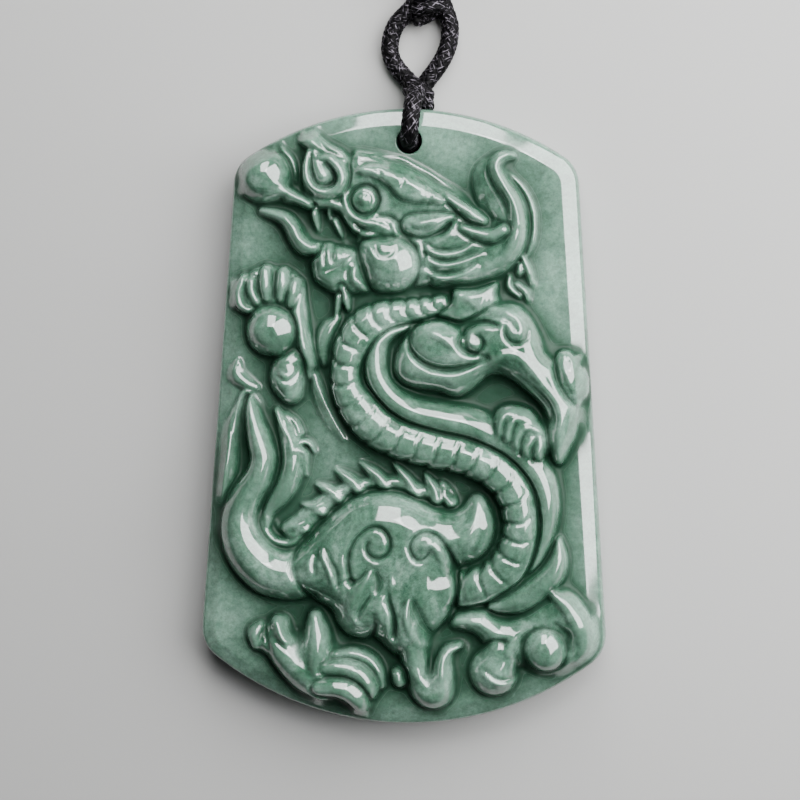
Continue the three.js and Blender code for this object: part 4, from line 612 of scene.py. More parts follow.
def jaws(s):
    """Open mouth, teeth, lower jaw with its lobes and beard."""
    s.press([[-9.9, 20.7], [-9.8, 18.9], [-9.0, 17.9], [-7.6, 17.7], [-6.2, 18.0],
             [-4.9, 18.2], [-5.4, 19.3], [-6.4, 20.2], [-7.4, 20.9], [-8.8, 20.9]], 0.2, 0.7)
    s.over([[-8.75, 20.9, 0.45, 1.8], [-8.65, 19.9, 0.42, 1.7], [-8.4, 18.7, 0.12, 1.0]], 0.2, 0.1)
    s.grow([[-7.3, 20.5, 0.25, 1.4], [-7.2, 19.7, 0.15, 0.8]])
    s.grow([[-6.7, 19.6, 0.35, 1.5], [-6.3, 18.7, 0.28, 1.4], [-6.0, 18.0, 0.1, 1.0]])
    s.lay([[-9.1, 16.2], [-8.9, 14.0], [-7.6, 12.8], [-6.2, 12.3], [-4.6, 12.4],
           [-3.2, 12.7], [-3.3, 14.2], [-4.0, 15.8], [-4.7, 16.9], [-6.0, 17.1],
           [-7.4, 17.5], [-8.3, 17.2]], 2.3, 1.3, 0.3, 0.3)
    s.over([[-5.9, 13.0, 0.5, 1.8], [-5.6, 12.0, 0.5, 1.7], [-5.4, 10.9, 0.2, 1.4]], 0.5, 0.2)
    s.over([[-6.3, 12.2, 0.35, 1.6], [-6.4, 11.2, 0.35, 1.3], [-6.6, 10.2, 0.15, 1.1]], 0.4, 0.2)
    s.cut([[-7.55, 17.2, 0.15, 0.6], [-7.5, 16.2, 0.2, 0.6], [-7.6, 15.3, 0.15, 0.3]])
    s.swell([[-7.85, 16.9, 0.2, 0.5], [-7.8, 15.9, 0.25, 0.5], [-7.8, 15.1, 0.2, 0.3]])
    s.swell([[-7.2, 17.1, 0.2, 0.5], [-7.2, 16.2, 0.2, 0.5], [-7.1, 15.4, 0.15, 0.3]])
    s.cut([[-6.7, 17.3, 0.2, 0.6], [-6.8, 16.2, 0.25, 0.6], [-6.7, 15.5, 0.2, 0.3]])
    s.swell([[-6.2, 16.9, 0.2, 0.5], [-6.2, 15.7, 0.2, 0.3]])
    s.swell([[-5.8, 17.5, 0.15, 0.4], [-5.6, 16.6, 0.15, 0.4]])
    s.cut([[-7.6, 14.6, 0.15, 0.2], [-6.3, 15.1, 0.25, 0.4], [-5.5, 15.8, 0.25, 0.5],
           [-4.8, 16.4, 0.2, 0.4]])
    s.swell([[-5.6, 15.3, 0.3, 0.3], [-4.6, 16.4, 0.3, 0.6]])
    s.swell([[-4.3, 15.3, 0.3, 0.5], [-4.7, 14.3, 0.35, 0.5], [-4.5, 13.5, 0.2, 0.3]])
    s.cut([[-5.2, 14.8, 0.2, 0.3], [-5.3, 14.0, 0.25, 0.3], [-4.9, 13.1, 0.2, 0.3]])
    s.cut([[-5.0, 13.4, 0.15, 0.2], [-4.4, 12.8, 0.2, 0.3], [-3.4, 12.4, 0.15, 0.2]])


def whisker(s):
    """Flaming pearl by the mouth, with the whisker that trails below it."""
    s.over([[-12.8, 22.9, 1.3, 2.2], [-11.6, 22.2, 0.9, 2.2], [-10.4, 21.7, 0.65, 2.2],
            [-9.2, 21.1, 0.5, 2.1]], 0.3, 0.3)
    s.over([[-13.95, 20.55, 0.45, 1.2], [-12.7, 20.2, 0.6, 1.6], [-11.6, 19.7, 0.8, 2.0],
            [-10.9, 18.8, 0.9, 2.2], [-10.4, 17.8, 0.95, 2.3], [-9.7, 17.0, 0.95, 2.4],
            [-8.8, 16.8, 0.7, 2.3], [-8.3, 17.2, 0.25, 2.2]], 0.2, 0.4)
    s.swell([[-11.6, 19.95, 0.2, 0.2], [-10.6, 19.0, 0.35, 0.4], [-10.0, 17.8, 0.4, 0.4],
             [-9.0, 17.25, 0.35, 0.4], [-8.3, 17.3, 0.2, 0.2]])
    s.over([[-13.8, 23.95, 2.8, 3.0], [-13.65, 23.95, 2.8, 3.0]], 0.0, 0.45)
    s.grow([[-13.6, 22.4, 1.2, 2.2], [-12.4, 22.6, 0.9, 2.5], [-11.4, 22.25, 0.7, 2.3],
            [-10.4, 21.8, 0.5, 2.2]])
    s.swell([[-12.6, 23.3, 0.2, 0.2], [-11.6, 22.85, 0.25, 0.35], [-10.2, 22.05, 0.25, 0.35],
             [-9.2, 21.3, 0.2, 0.3]])
    s.grow([[-12.3, 26.8, 0.25, 0.8], [-11.2, 25.8, 0.3, 1.0], [-10.7, 24.6, 0.3, 1.0],
            [-10.6, 23.4, 0.2, 0.7]])


def cheek(s):
    """Round cheek with its small boss, and the ear behind it."""
    s.lay([[0.2, 17.7], [1.3, 16.8], [1.7, 15.4], [1.4, 13.9], [0.3, 12.8],
           [-1.5, 12.45], [-3.1, 12.9], [-3.9, 14.6], [-4.4, 16.5], [-4.0, 17.6],
           [-2.6, 17.9], [-0.9, 18.0]], 3.15, 2.6, 0.4, 0.35)
    s.cut([[-4.2, 17.9, 0.2, 0.3], [-2.6, 17.9, 0.25, 0.35], [-0.9, 17.4, 0.2, 0.2]])
    s.swell([[-4.0, 17.4, 0.25, 0.2], [-3.2, 17.1, 0.35, 0.35], [-2.7, 16.4, 0.3, 0.3],
             [-2.3, 15.5, 0.2, 0.15]])
    s.cut([[-2.5, 17.1, 0.15, 0.15], [-2.4, 16.5, 0.22, 0.3], [-1.8, 16.15, 0.22, 0.3],
           [-1.0, 16.3, 0.2, 0.25], [-0.6, 16.9, 0.15, 0.15]])
    s.over([[0.85, 19.2, 1.0, 2.7], [1.9, 19.15, 1.2, 2.9], [3.2, 19.4, 1.0, 2.9],
            [4.2, 19.8, 0.6, 2.6], [5.0, 20.0, 0.25, 2.3]], 1.0, 0.35)
    s.cut([[0.7, 19.3, 0.25, 0.25], [1.3, 18.75, 0.3, 0.4], [2.2, 18.8, 0.35, 0.4], [3.0, 19.2, 0.2, 0.2]])
    s.cut([[0.9, 19.9, 0.2, 0.25], [2.0, 19.8, 0.25, 0.35], [3.4, 20.0, 0.15, 0.2]])
    s.cut([[3.1, 18.2, 0.2, 0.4], [4.0, 18.6, 0.4, 0.8], [4.6, 19.2, 0.35, 0.7]])


BACK_BAND = [[0.9, 9.5, 0.6, 1.9], [-1.2, 8.9, 1.1, 2.5], [-2.4, 7.6, 1.35, 2.8],
             [-2.6, 5.6, 1.5, 2.9], [-2.2, 3.9, 1.6, 2.9], [-0.9, 2.1, 1.75, 2.9],
             [1.2, 0.8, 1.8, 2.9], [4.0, 0.1, 2.0, 2.9], [6.8, -0.5, 2.0, 2.8],
             [9.2, -1.6, 2.0, 2.6], [11.6, -3.2, 2.0, 2.6], [13.4, -5.2, 1.8, 2.7],
             [14.3, -7.6, 1.45, 2.7], [14.4, -10.0, 1.15, 2.5], [13.7, -12.5, 1.0, 2.2],
             [12.3, -14.9, 0.9, 1.9], [10.4, -16.8, 0.7, 1.6]]
BELLY_BAND = [[3.9, 11.6, 0.9, 1.5, -0.3], [2.0, 11.0, 1.15, 1.9, -0.3], [0.0, 10.7, 1.25, 2.2, -0.3],
              [-2.0, 10.3, 1.5, 2.6, -0.1], [-3.9, 9.1, 1.75, 2.9, 0.2], [-5.1, 7.1, 1.75, 3.1, 0.4],
              [-5.5, 5.0, 1.6, 3.1, 0.3], [-5.3, 3.0, 1.75, 3.1, 0.0], [-4.2, 1.1, 2.0, 3.1, 0.0],
              [-2.5, -0.7, 2.05, 3.1, 0.3], [-0.2, -1.95, 1.95, 3.1, 0.5], [3.1, -2.9, 1.9, 3.1, 0.5],
              [6.4, -3.6, 1.85, 3.1, 0.4], [9.3, -5.0, 1.85, 3.2, 0.0], [11.1, -7.1, 1.9, 3.3, -0.4],
              [11.75, -9.7, 1.85, 3.3, -0.3], [11.5, -12.0, 1.85, 3.2, -0.1], [10.5, -14.2, 1.95, 3.0, 0.2],
              [8.9, -15.7, 1.95, 2.8, 0.4], [6.9, -16.4, 1.95, 2.5, 0.4], [5.0, -16.6, 1.9, 2.2, 0.4]]


def coils(s):
    """Smooth back band and belly band of the body that winds to the haunch."""
    s.over(BACK_BAND, 0.1, 0.4)
    s.over(BELLY_BAND, 0.1, 0.3, 3.2)


def stations(line, first, last):
    """Places along a line at a spacing that grows from first to last."""
    path = curve(line, 0.05)
    out = []
    run = 0.0
    due = 0.5
    for i in range(1, len(path) - 1):
        a = path[i - 1]
        b = path[i]
        length = ((b[0] - a[0]) ** 2 + (b[1] - a[1]) ** 2) ** 0.5
        run = run + length
        if run >= due:
            out.append([b[0], b[1], b[2], b[4], (b[0] - a[0]) / length, (b[1] - a[1]) / length])
            due = due + min(last, first + run * 0.07)
    return out


def scutes(s):
    """Grooves across the belly band and the raised line along its edge."""
    for x, y, half, lean, ax, ay in stations(BELLY_BAND, 1.3, 1.95):
        nx = -ay
        ny = ax
        s.cut([[x - nx * half * 0.9 - ax * lean, y - ny * half * 0.9 - ay * lean, 0.34, 0.8],
               [x - nx * half * 0.45 + ax * 0.3, y - ny * half * 0.45 + ay * 0.3, 0.26, 0.5],
               [x + nx * half * 0.2 + ax * 0.35, y + ny * half * 0.2 + ay * 0.35, 0.2, 0.4],
               [x + nx * half * 0.72 + ax * lean, y + ny * half * 0.72 + ay * lean, 0.17, 0.25]])
    rim = [[p[0], p[1], 0.3, 0.35] for p in offset_line(BELLY_BAND, 0.88)]
    seam = [[p[0], p[1], 0.3, 0.5] for p in offset_line(BELLY_BAND, 1.06)]
    s.cut(seam)
    s.swell(rim)


def offset_line(band, share):
    """A line that runs along a band at a share of its half width."""
    path = curve(band, 1.0)
    out = []
    for i in range(len(path)):
        a = path[max(0, i - 1)]
        b = path[min(len(path) - 1, i + 1)]
        dx = b[0] - a[0]
        dy = b[1] - a[1]
        n = (dx * dx + dy * dy) ** 0.5
        half = path[i][2] * share
        out.append([path[i][0] - dy / n * half, path[i][1] + dx / n * half])
    return out


def shoulder(s):
    """Shoulder plate, the arm with its outer lobe as one form, and the lobe over it."""
    s.mass([[5.0, 13.0], [7.2, 13.2], [9.3, 13.7], [9.5, 12.4], [10.0, 11.0], [9.0, 10.0],
            [6.0, 9.4], [4.0, 10.0], [3.4, 10.4], [4.6, 11.7]], 2.2, 0.9)
    s.cut([[9.5, 13.7, 0.2, 0.3], [9.5, 12.6, 0.25, 0.4], [9.7, 11.6, 0.2, 0.2]])
    s.lift([[5.8, 12.3], [8.4, 12.8], [8.3, 11.4], [7.6, 10.6], [6.6, 11.2]], 0.3, 0.6)
    s.lay([[0.2, 8.3], [-0.5, 7.2], [-0.95, 5.8], [-0.9, 4.5], [-0.2, 3.6], [0.9, 3.1],
           [2.2, 2.9], [3.6, 2.7], [4.8, 2.3], [5.8, 2.3], [6.8, 2.8], [7.7, 3.6],
           [8.6, 4.3], [9.8, 4.4], [11.0, 3.8], [12.2, 2.8], [13.3, 1.8], [14.0, 0.6],
           [13.9, -0.6], [14.0, -2.2], [14.9, -4.0], [15.8, -4.2], [16.5, -3.2],
           [17.2, -1.6], [17.6, 0.4], [17.6, 2.4], [17.0, 4.4], [15.6, 6.0], [14.4, 6.8],
           [13.7, 8.4], [12.9, 10.0], [11.7, 11.3], [10.2, 11.7], [8.8, 11.3], [7.4, 10.4],
           [5.6, 9.6], [3.6, 9.9], [1.6, 9.5]], 3.55, 2.1, 0.2, 0.4)
    s.lay([[0.9, 8.2], [1.4, 9.2], [2.6, 9.8], [4.2, 9.8], [5.4, 9.3], [6.2, 8.4], [6.4, 7.2],
           [7.4, 6.5], [8.4, 6.3], [7.4, 5.8], [6.4, 5.4], [5.0, 5.1], [3.6, 5.2], [2.3, 5.7],
           [1.3, 6.6], [0.9, 7.4]], 3.85, 1.9, 1.5, 0.55)
    s.cut([[0.7, 8.1, 0.25, 0.3], [1.0, 7.0, 0.4, 0.5], [1.9, 6.0, 0.45, 0.7],
           [3.2, 5.4, 0.48, 0.8], [4.8, 5.2, 0.46, 0.8], [6.4, 5.5, 0.38, 0.6],
           [7.8, 6.05, 0.2, 0.3]])
    s.swell([[0.4, 7.9, 0.16, 0.2], [0.8, 6.7, 0.2, 0.25], [1.6, 5.7, 0.2, 0.25], [2.8, 5.0, 0.16, 0.2]])
    s.swell([[2.4, 8.9, 0.5, 0.15], [3.8, 8.5, 0.7, 0.3], [5.2, 7.4, 0.6, 0.3], [6.6, 6.5, 0.4, 0.15]])


def shoulder_curls(s):
    """Spiral grooves of the shoulder and elbow."""
    s.cut([[9.4, 9.5, 0.36, 0.7], [8.4, 9.8, 0.4, 0.9], [7.4, 9.7, 0.34, 0.8],
           [6.5, 9.3, 0.3, 0.75], [5.9, 8.6, 0.3, 0.75], [5.7, 7.9, 0.32, 0.75],
           [5.9, 7.2, 0.34, 0.75], [6.5, 6.8, 0.34, 0.75], [7.3, 6.75, 0.34, 0.75],
           [7.9, 7.2, 0.32, 0.7], [8.05, 7.8, 0.3, 0.65], [7.7, 8.35, 0.26, 0.5],
           [7.3, 8.3, 0.16, 0.3]])
    s.swell([[8.8, 9.0, 0.3, 0.2], [7.8, 9.1, 0.36, 0.35], [7.0, 8.8, 0.36, 0.35],
             [6.6, 8.1, 0.34, 0.3], [6.9, 7.6, 0.3, 0.3], [7.3, 7.7, 0.2, 0.2]])
    s.cut([[10.2, 9.5, 0.18, 0.3], [10.2, 8.7, 0.28, 0.6], [10.6, 8.0, 0.3, 0.65],
           [11.4, 7.75, 0.3, 0.65], [12.2, 8.2, 0.3, 0.6], [12.4, 9.0, 0.26, 0.5],
           [12.3, 9.9, 0.22, 0.4], [11.6, 10.7, 0.18, 0.3]])
    s.cut([[8.4, 10.5, 0.18, 0.25], [9.8, 10.2, 0.24, 0.35], [10.7, 9.8, 0.24, 0.4],
           [11.1, 9.2, 0.2, 0.35], [11.4, 9.0, 0.14, 0.2]])
    s.swell([[8.6, 11.0, 0.25, 0.2], [9.8, 11.0, 0.42, 0.4], [10.9, 10.6, 0.42, 0.4],
             [11.6, 9.9, 0.36, 0.35], [11.8, 9.1, 0.32, 0.3], [11.4, 8.6, 0.28, 0.25],
             [11.0, 8.8, 0.2, 0.15]])
    s.cut([[12.0, 10.9, 0.14, 0.2], [12.8, 9.6, 0.2, 0.35], [13.4, 8.2, 0.2, 0.35],
           [14.1, 6.8, 0.16, 0.25]])


def foreleg(s):
    """Hollow under the forearm arch, its inner line, the knee and the wrist."""
    s.press([[8.0, 3.4], [9.0, 4.0], [10.4, 3.9], [11.6, 3.1], [12.8, 2.2], [13.3, 1.0],
             [12.4, 1.0], [11.0, 1.8], [9.6, 1.6], [8.6, 1.5], [7.4, 2.1]], 0.5, 0.8)
    s.swell([[8.9, 5.7, 0.4, 0.15], [10.0, 6.6, 0.6, 0.25], [11.4, 6.5, 0.6, 0.25],
             [12.8, 5.2, 0.6, 0.25], [13.9, 3.6, 0.6, 0.25], [15.0, 2.0, 0.6, 0.25],
             [15.5, 0.4, 0.6, 0.25], [15.2, -1.2, 0.4, 0.15]])
    s.cut([[10.9, 5.1, 0.14, 0.15], [12.2, 4.1, 0.2, 0.3], [13.4, 3.0, 0.22, 0.35],
           [14.5, 1.8, 0.22, 0.35], [14.8, 0.6, 0.22, 0.3], [14.3, -0.4, 0.16, 0.15]])
    s.swell([[10.8, 4.7, 0.14, 0.15], [12.0, 3.8, 0.18, 0.25], [13.2, 2.7, 0.2, 0.3],
             [14.2, 1.6, 0.2, 0.3], [14.4, 0.6, 0.18, 0.2]])
    s.over([[16.0, 6.1, 0.95, 2.8], [16.5, 4.9, 1.5, 3.3], [17.0, 3.6, 1.4, 3.1],
            [17.3, 2.4, 0.7, 2.6]], 1.8, 0.3)
    s.swell([[15.6, 6.0, 0.3, 0.1], [16.0, 4.8, 0.5, 0.25], [16.6, 3.4, 0.4, 0.2]])
    s.cut([[15.0, 6.5, 0.2, 0.3], [15.0, 5.2, 0.28, 0.4], [15.5, 3.7, 0.28, 0.4], [16.4, 2.3, 0.2, 0.25]])


def hand(s):
    """The gripping hand: its mass, the fingers and the grooves between them."""
    s.mass([[9.2, 0.9], [10.1, 1.6], [11.3, 1.7], [12.6, 1.4], [13.6, 0.4], [14.4, -0.8],
            [14.6, -2.4], [14.0, -3.8], [12.6, -4.0], [11.4, -3.3], [10.2, -2.4], [9.2, -1.6],
            [8.9, -0.2]], 3.1, 1.1, 0.8)
    s.swell([[10.9, 1.2, 0.5, 0.2], [10.0, 0.7, 0.5, 0.35], [9.6, -0.4, 0.4, 0.35], [9.6, -1.5, 0.3, 0.3]])
    s.swell([[11.9, 0.5, 0.45, 0.2], [10.9, 0.0, 0.42, 0.35], [10.5, -1.2, 0.36, 0.35],
             [10.4, -2.1, 0.2, 0.2]])
    s.swell([[12.2, -0.4, 0.4, 0.2], [11.6, -1.1, 0.4, 0.35], [11.3, -2.1, 0.36, 0.35],
             [11.4, -3.0, 0.22, 0.2]])
    s.swell([[12.3, -0.5, 0.4, 0.25], [13.2, -0.5, 0.5, 0.35], [13.9, -0.8, 0.4, 0.25]])
    s.swell([[12.9, -1.5, 0.4, 0.2], [12.3, -2.4, 0.4, 0.35], [12.2, -3.5, 0.25, 0.2]])
    s.swell([[13.9, -1.9, 0.5, 0.2], [13.6, -3.0, 0.5, 0.35], [14.2, -4.0, 0.35, 0.2]])
    s.cut([[10.4, 0.6, 0.16, 0.25], [10.1, -0.5, 0.22, 0.45], [10.0, -1.6, 0.2, 0.35]])
    s.cut([[11.4, 0.2, 0.16, 0.25], [11.0, -0.9, 0.22, 0.45], [10.8, -2.0, 0.2, 0.4]])
    s.cut([[12.2, -1.0, 0.18, 0.3], [11.8, -1.9, 0.26, 0.55], [11.8, -3.1, 0.22, 0.45]])
    s.cut([[13.3, -1.5, 0.2, 0.3], [12.9, -2.6, 0.3, 0.6], [13.0, -3.7, 0.25, 0.5]])
    for x, y in [[12.0, 1.4], [12.7, 0.9], [13.4, 0.3]]:
        s.cut([[x + 0.5, y + 0.3, 0.1, 0.1], [x, y - 0.1, 0.13, 0.2], [x - 0.5, y - 0.4, 0.1, 0.1]])


def left_paw(s):
    """The raised paw on the left that holds a ball."""
    s.mass([[-16.6, 13.2], [-15.6, 14.3], [-13.9, 15.2], [-12.4, 15.1], [-11.0, 14.8],
            [-9.9, 13.6], [-9.5, 11.4], [-9.0, 8.6], [-8.3, 5.4], [-9.6, 3.6],
            [-10.6, 5.6], [-13.0, 6.0], [-15.2, 8.0], [-15.3, 10.0], [-16.9, 11.8]], 1.5, 1.0)
    s.grow([[-10.4, 13.4, 0.7, 1.9], [-10.3, 10.9, 0.9, 2.3], [-9.9, 8.6, 0.9, 2.5],
            [-9.5, 6.8, 0.9, 2.4], [-9.0, 5.4, 0.6, 1.8]], 0.2)
    s.over([[-14.9, 10.6, 0.4, 1.6], [-16.0, 11.2, 0.6, 1.7], [-16.3, 12.5, 0.75, 1.9],
            [-15.7, 13.7, 0.7, 1.8]], 0.3, 0.2)
    s.over([[-14.4, 11.6, 0.5, 1.8], [-14.9, 12.6, 0.6, 2.0], [-14.9, 13.6, 0.55, 1.9]], 0.4, 0.2)
    s.over([[-13.4, 12.0, 0.55, 2.0], [-13.5, 13.3, 0.8, 2.3], [-13.5, 14.6, 0.7, 2.1]], 0.4, 0.2)
    s.over([[-12.0, 12.0, 0.55, 2.1], [-11.8, 13.2, 0.8, 2.4], [-11.8, 14.4, 0.7, 2.1]], 0.4, 0.2)
    s.over([[-11.0, 11.4, 0.5, 2.1], [-10.7, 12.6, 0.65, 2.3], [-10.5, 13.5, 0.55, 2.0]], 0.6, 0.2)
    s.over([[-11.3, 5.6, 1.6, 2.4], [-11.4, 4.0, 1.85, 2.5], [-11.1, 2.8, 1.4, 2.2]], 0.1, 0.35)
    s.cut([[-12.5, 5.6, 0.2, 0.2], [-12.2, 4.4, 0.28, 0.35], [-11.3, 3.8, 0.28, 0.4],
           [-10.4, 4.4, 0.28, 0.35], [-10.3, 5.6, 0.2, 0.2]])
    s.cut([[x, y, 0.14, 0.2] for x, y in
           [(-11.8, 5.2), (-11.5, 4.7), (-10.95, 4.7), (-10.8, 5.3), (-11.3, 5.6)]])
    s.over([[-13.0, 8.7, 2.6, 3.2], [-12.9, 8.65, 2.6, 3.2]], 0.2, 0.4)
    s.swell([[-10.4, 10.6, 0.2, 0.15], [-10.0, 9.0, 0.25, 0.25], [-9.7, 7.6, 0.25, 0.25],
             [-9.5, 6.3, 0.2, 0.15]])


def side_fins(s):
    """Low fins and hair lines between the paw and the body."""
    s.grow([[-6.4, 10.0, 0.4, 0.9], [-7.4, 8.8, 1.0, 1.2], [-7.9, 7.2, 0.9, 1.1],
            [-7.7, 5.6, 0.5, 0.8]])
    s.grow([[-8.7, 4.6, 0.4, 0.7], [-8.3, 3.0, 0.8, 0.7], [-7.6, 1.2, 0.9, 0.65],
            [-6.7, -0.6, 0.7, 0.5], [-5.8, -2.0, 0.3, 0.3]])
    s.swell([[-8.9, 4.3, 0.12, 0.3], [-8.2, 2.8, 0.16, 0.35], [-7.4, 1.0, 0.16, 0.35],
             [-6.3, -1.1, 0.12, 0.3]])
    s.grow([[-16.4, 5.6, 0.4, 0.5], [-16.6, 4.4, 0.8, 0.8], [-15.7, 3.5, 0.7, 0.8],
            [-14.6, 3.0, 0.4, 0.6]])
    s.swell([[-16.15, 5.5, 0.13, 0.3], [-15.8, 4.7, 0.18, 0.35], [-14.9, 3.8, 0.18, 0.35],
             [-14.2, 3.1, 0.13, 0.3]])


def tail(s):
    """The tail tube and the two fronds that flank it."""
    s.grow([[-16.2, 1.6, 0.4, 0.5], [-16.9, -0.6, 0.7, 0.8], [-17.2, -2.6, 1.0, 1.1],
            [-17.35, -4.4, 1.2, 1.3], [-17.5, -6.2, 1.2, 1.3], [-17.8, -7.8, 1.0, 1.2],
            [-17.95, -9.0, 0.7, 0.9], [-17.95, -9.8, 0.3, 0.5]])
    s.swell([[-17.0, -1.6, 0.2, 0.2], [-17.2, -3.6, 0.35, 0.3], [-17.5, -5.6, 0.35, 0.3],
             [-17.8, -7.6, 0.3, 0.2], [-17.9, -9.4, 0.2, 0.1]])
    s.grow([[-16.7, -0.2, 0.18, 0.8], [-16.3, 1.6, 0.22, 0.9], [-15.75, 2.6, 0.24, 0.9],
            [-15.0, 2.5, 0.24, 0.9], [-14.3, 1.7, 0.22, 0.7], [-13.9, 0.4, 0.18, 0.5]])
    s.over([[-12.4, 0.9, 0.35, 1.0], [-11.6, -0.6, 0.9, 1.6], [-11.0, -2.4, 1.2, 1.9],
            [-10.85, -4.4, 1.25, 2.0], [-11.3, -6.2, 1.3, 2.0], [-12.3, -7.8, 1.15, 1.9],
            [-13.2, -9.1, 0.8, 1.6], [-13.6, -10.6, 0.6, 1.3]], 0.1, 0.3)
    s.swell([[-12.6, 0.8, 0.2, 0.3], [-11.9, -0.5, 0.3, 0.4], [-11.0, -1.9, 0.35, 0.4],
             [-10.7, -3.2, 0.25, 0.2]])
    s.cut([[-11.6, 0.4, 0.12, 0.2], [-10.8, -0.6, 0.18, 0.25], [-10.2, -1.7, 0.15, 0.2]])
    s.grow([[-11.5, 0.5, 0.25, 0.8], [-10.6, -0.3, 0.35, 1.1], [-10.1, -1.4, 0.4, 1.3]])
    s.grow([[-10.2, -2.3, 0.3, 1.3], [-9.3, -2.3, 0.3, 1.2], [-8.7, -3.2, 0.22, 0.8]])
    s.grow([[-10.2, -3.0, 0.5, 1.7], [-9.6, -3.4, 0.35, 1.3], [-9.5, -4.6, 0.25, 0.9],
            [-9.5, -5.6, 0.18, 0.6]])
    s.over([[-15.05, 2.0, 0.3, 1.4], [-14.9, 0.8, 0.75, 2.0], [-14.55, -0.8, 1.1, 2.4],
            [-14.1, -2.4, 1.4, 2.7], [-13.75, -4.0, 1.5, 2.8], [-14.2, -5.8, 1.6, 2.9],
            [-15.3, -7.6, 1.75, 2.9], [-16.0, -9.4, 1.95, 3.0], [-16.0, -11.3, 2.2, 3.1],
            [-15.2, -13.2, 2.5, 3.2], [-13.5, -14.9, 2.7, 3.3], [-11.5, -15.5, 2.7, 3.3],
            [-9.6, -15.2, 2.7, 3.3]], 0.1, 0.45)


def tail_pocket(s):
    """Rim and small leaves in the crook between tail and fin."""
    s.grow([[-14.1, -9.4, 0.3, 1.0], [-13.7, -10.8, 0.45, 1.3], [-12.8, -12.0, 0.5, 1.4],
            [-11.4, -12.4, 0.6, 1.4], [-10.2, -12.0, 0.6, 1.3]])
    s.swell([[-13.3, -9.8, 0.2, 0.35], [-13.2, -10.8, 0.24, 0.4], [-12.7, -11.6, 0.2, 0.3]])
    s.swell([[-12.6, -10.2, 0.2, 0.3], [-12.2, -11.1, 0.24, 0.4], [-11.5, -11.4, 0.2, 0.3]])
    s.swell([[-11.9, -11.0, 0.25, 0.3], [-11.2, -10.6, 0.3, 0.4], [-10.6, -11.0, 0.25, 0.3]])


def dorsal_fin(s):
    """Row of pointed fin leaves along the back of the haunch."""
    s.mass([[-12.2, -10.8], [-10.6, -9.4], [-9.2, -8.2], [-7.4, -7.0], [-5.2, -6.0],
            [-2.6, -5.6], [0.0, -5.4], [2.6, -6.4], [4.6, -7.2], [4.4, -8.4], [1.6, -7.6],
            [-1.6, -6.8], [-4.4, -7.2], [-6.4, -8.6], [-8.2, -10.4], [-9.6, -12.4],
            [-11.2, -12.4]], 1.2, 1.0)
    leaves = [[-11.7, -10.9, -9.2, -10.4], [-9.9, -8.5, -7.6, -8.6], [-8.5, -6.5, -6.0, -7.2],
              [-6.6, -5.0, -4.0, -6.3], [-4.1, -4.25, -1.3, -6.0], [-0.8, -4.2, 1.7, -6.9],
              [2.3, -5.2, 3.7, -7.2], [3.9, -6.0, 5.2, -7.7]]
    for x, y, u, v in leaves:
        s.grow([[x, y, 0.16, 0.8], [x * 0.72 + u * 0.28, y * 0.72 + v * 0.28 - 0.15, 0.5, 1.2],
                [x * 0.4 + u * 0.6, y * 0.4 + v * 0.6 - 0.35, 0.75, 1.5],
                [u - 0.2, v - 0.6, 0.75, 1.6]])
    for x, y, u, v in leaves:
        s.swell([[x, y, 0.1, 0.2], [x * 0.6 + u * 0.4, y * 0.6 + v * 0.4 + 0.15, 0.18, 0.35],
                 [u, v + 0.1, 0.14, 0.2]])
        s.cut([[x + 0.3, y - 0.5, 0.1, 0.1], [(x + u) / 2 - 0.1, (y + v) / 2 - 0.45, 0.2, 0.3],
               [u - 0.3, v - 0.4, 0.12, 0.15]])


def haunch(s):
    """The big rounded haunch under the coils."""
    s.lay([[-10.6, -14.6], [-10.2, -12.6], [-8.4, -10.7], [-6.6, -9.0], [-4.6, -7.6],
           [-2.0, -6.95], [0.5, -7.25], [2.8, -8.25], [4.6, -8.75], [6.0, -8.3],
           [7.0, -7.2], [8.2, -7.2], [9.2, -8.8], [9.5, -10.8], [8.8, -12.8],
           [7.4, -14.0], [5.7, -14.8], [5.6, -16.6], [5.2, -18.6], [4.3, -20.2],
           [3.2, -21.4], [2.9, -22.8], [1.4, -23.6], [-0.4, -23.5], [-1.6, -22.6],
           [-2.6, -21.8], [-3.9, -21.9], [-5.4, -21.5], [-6.4, -20.4], [-7.1, -19.0],
           [-8.6, -18.1], [-9.7, -16.6]],
          3.7, 3.6, 0.2, 0.4)
    s.press([[4.0, -6.6], [5.2, -5.9], [6.4, -6.2], [6.6, -7.2], [5.6, -8.0], [4.6, -7.8]], 0.4, 0.7)
    s.swell([[6.6, -6.9, 0.5, 0.1], [8.0, -7.7, 0.8, 0.3], [8.8, -9.6, 0.9, 0.35],
             [8.7, -11.6, 0.9, 0.35], [7.6, -13.4, 0.6, 0.2]])


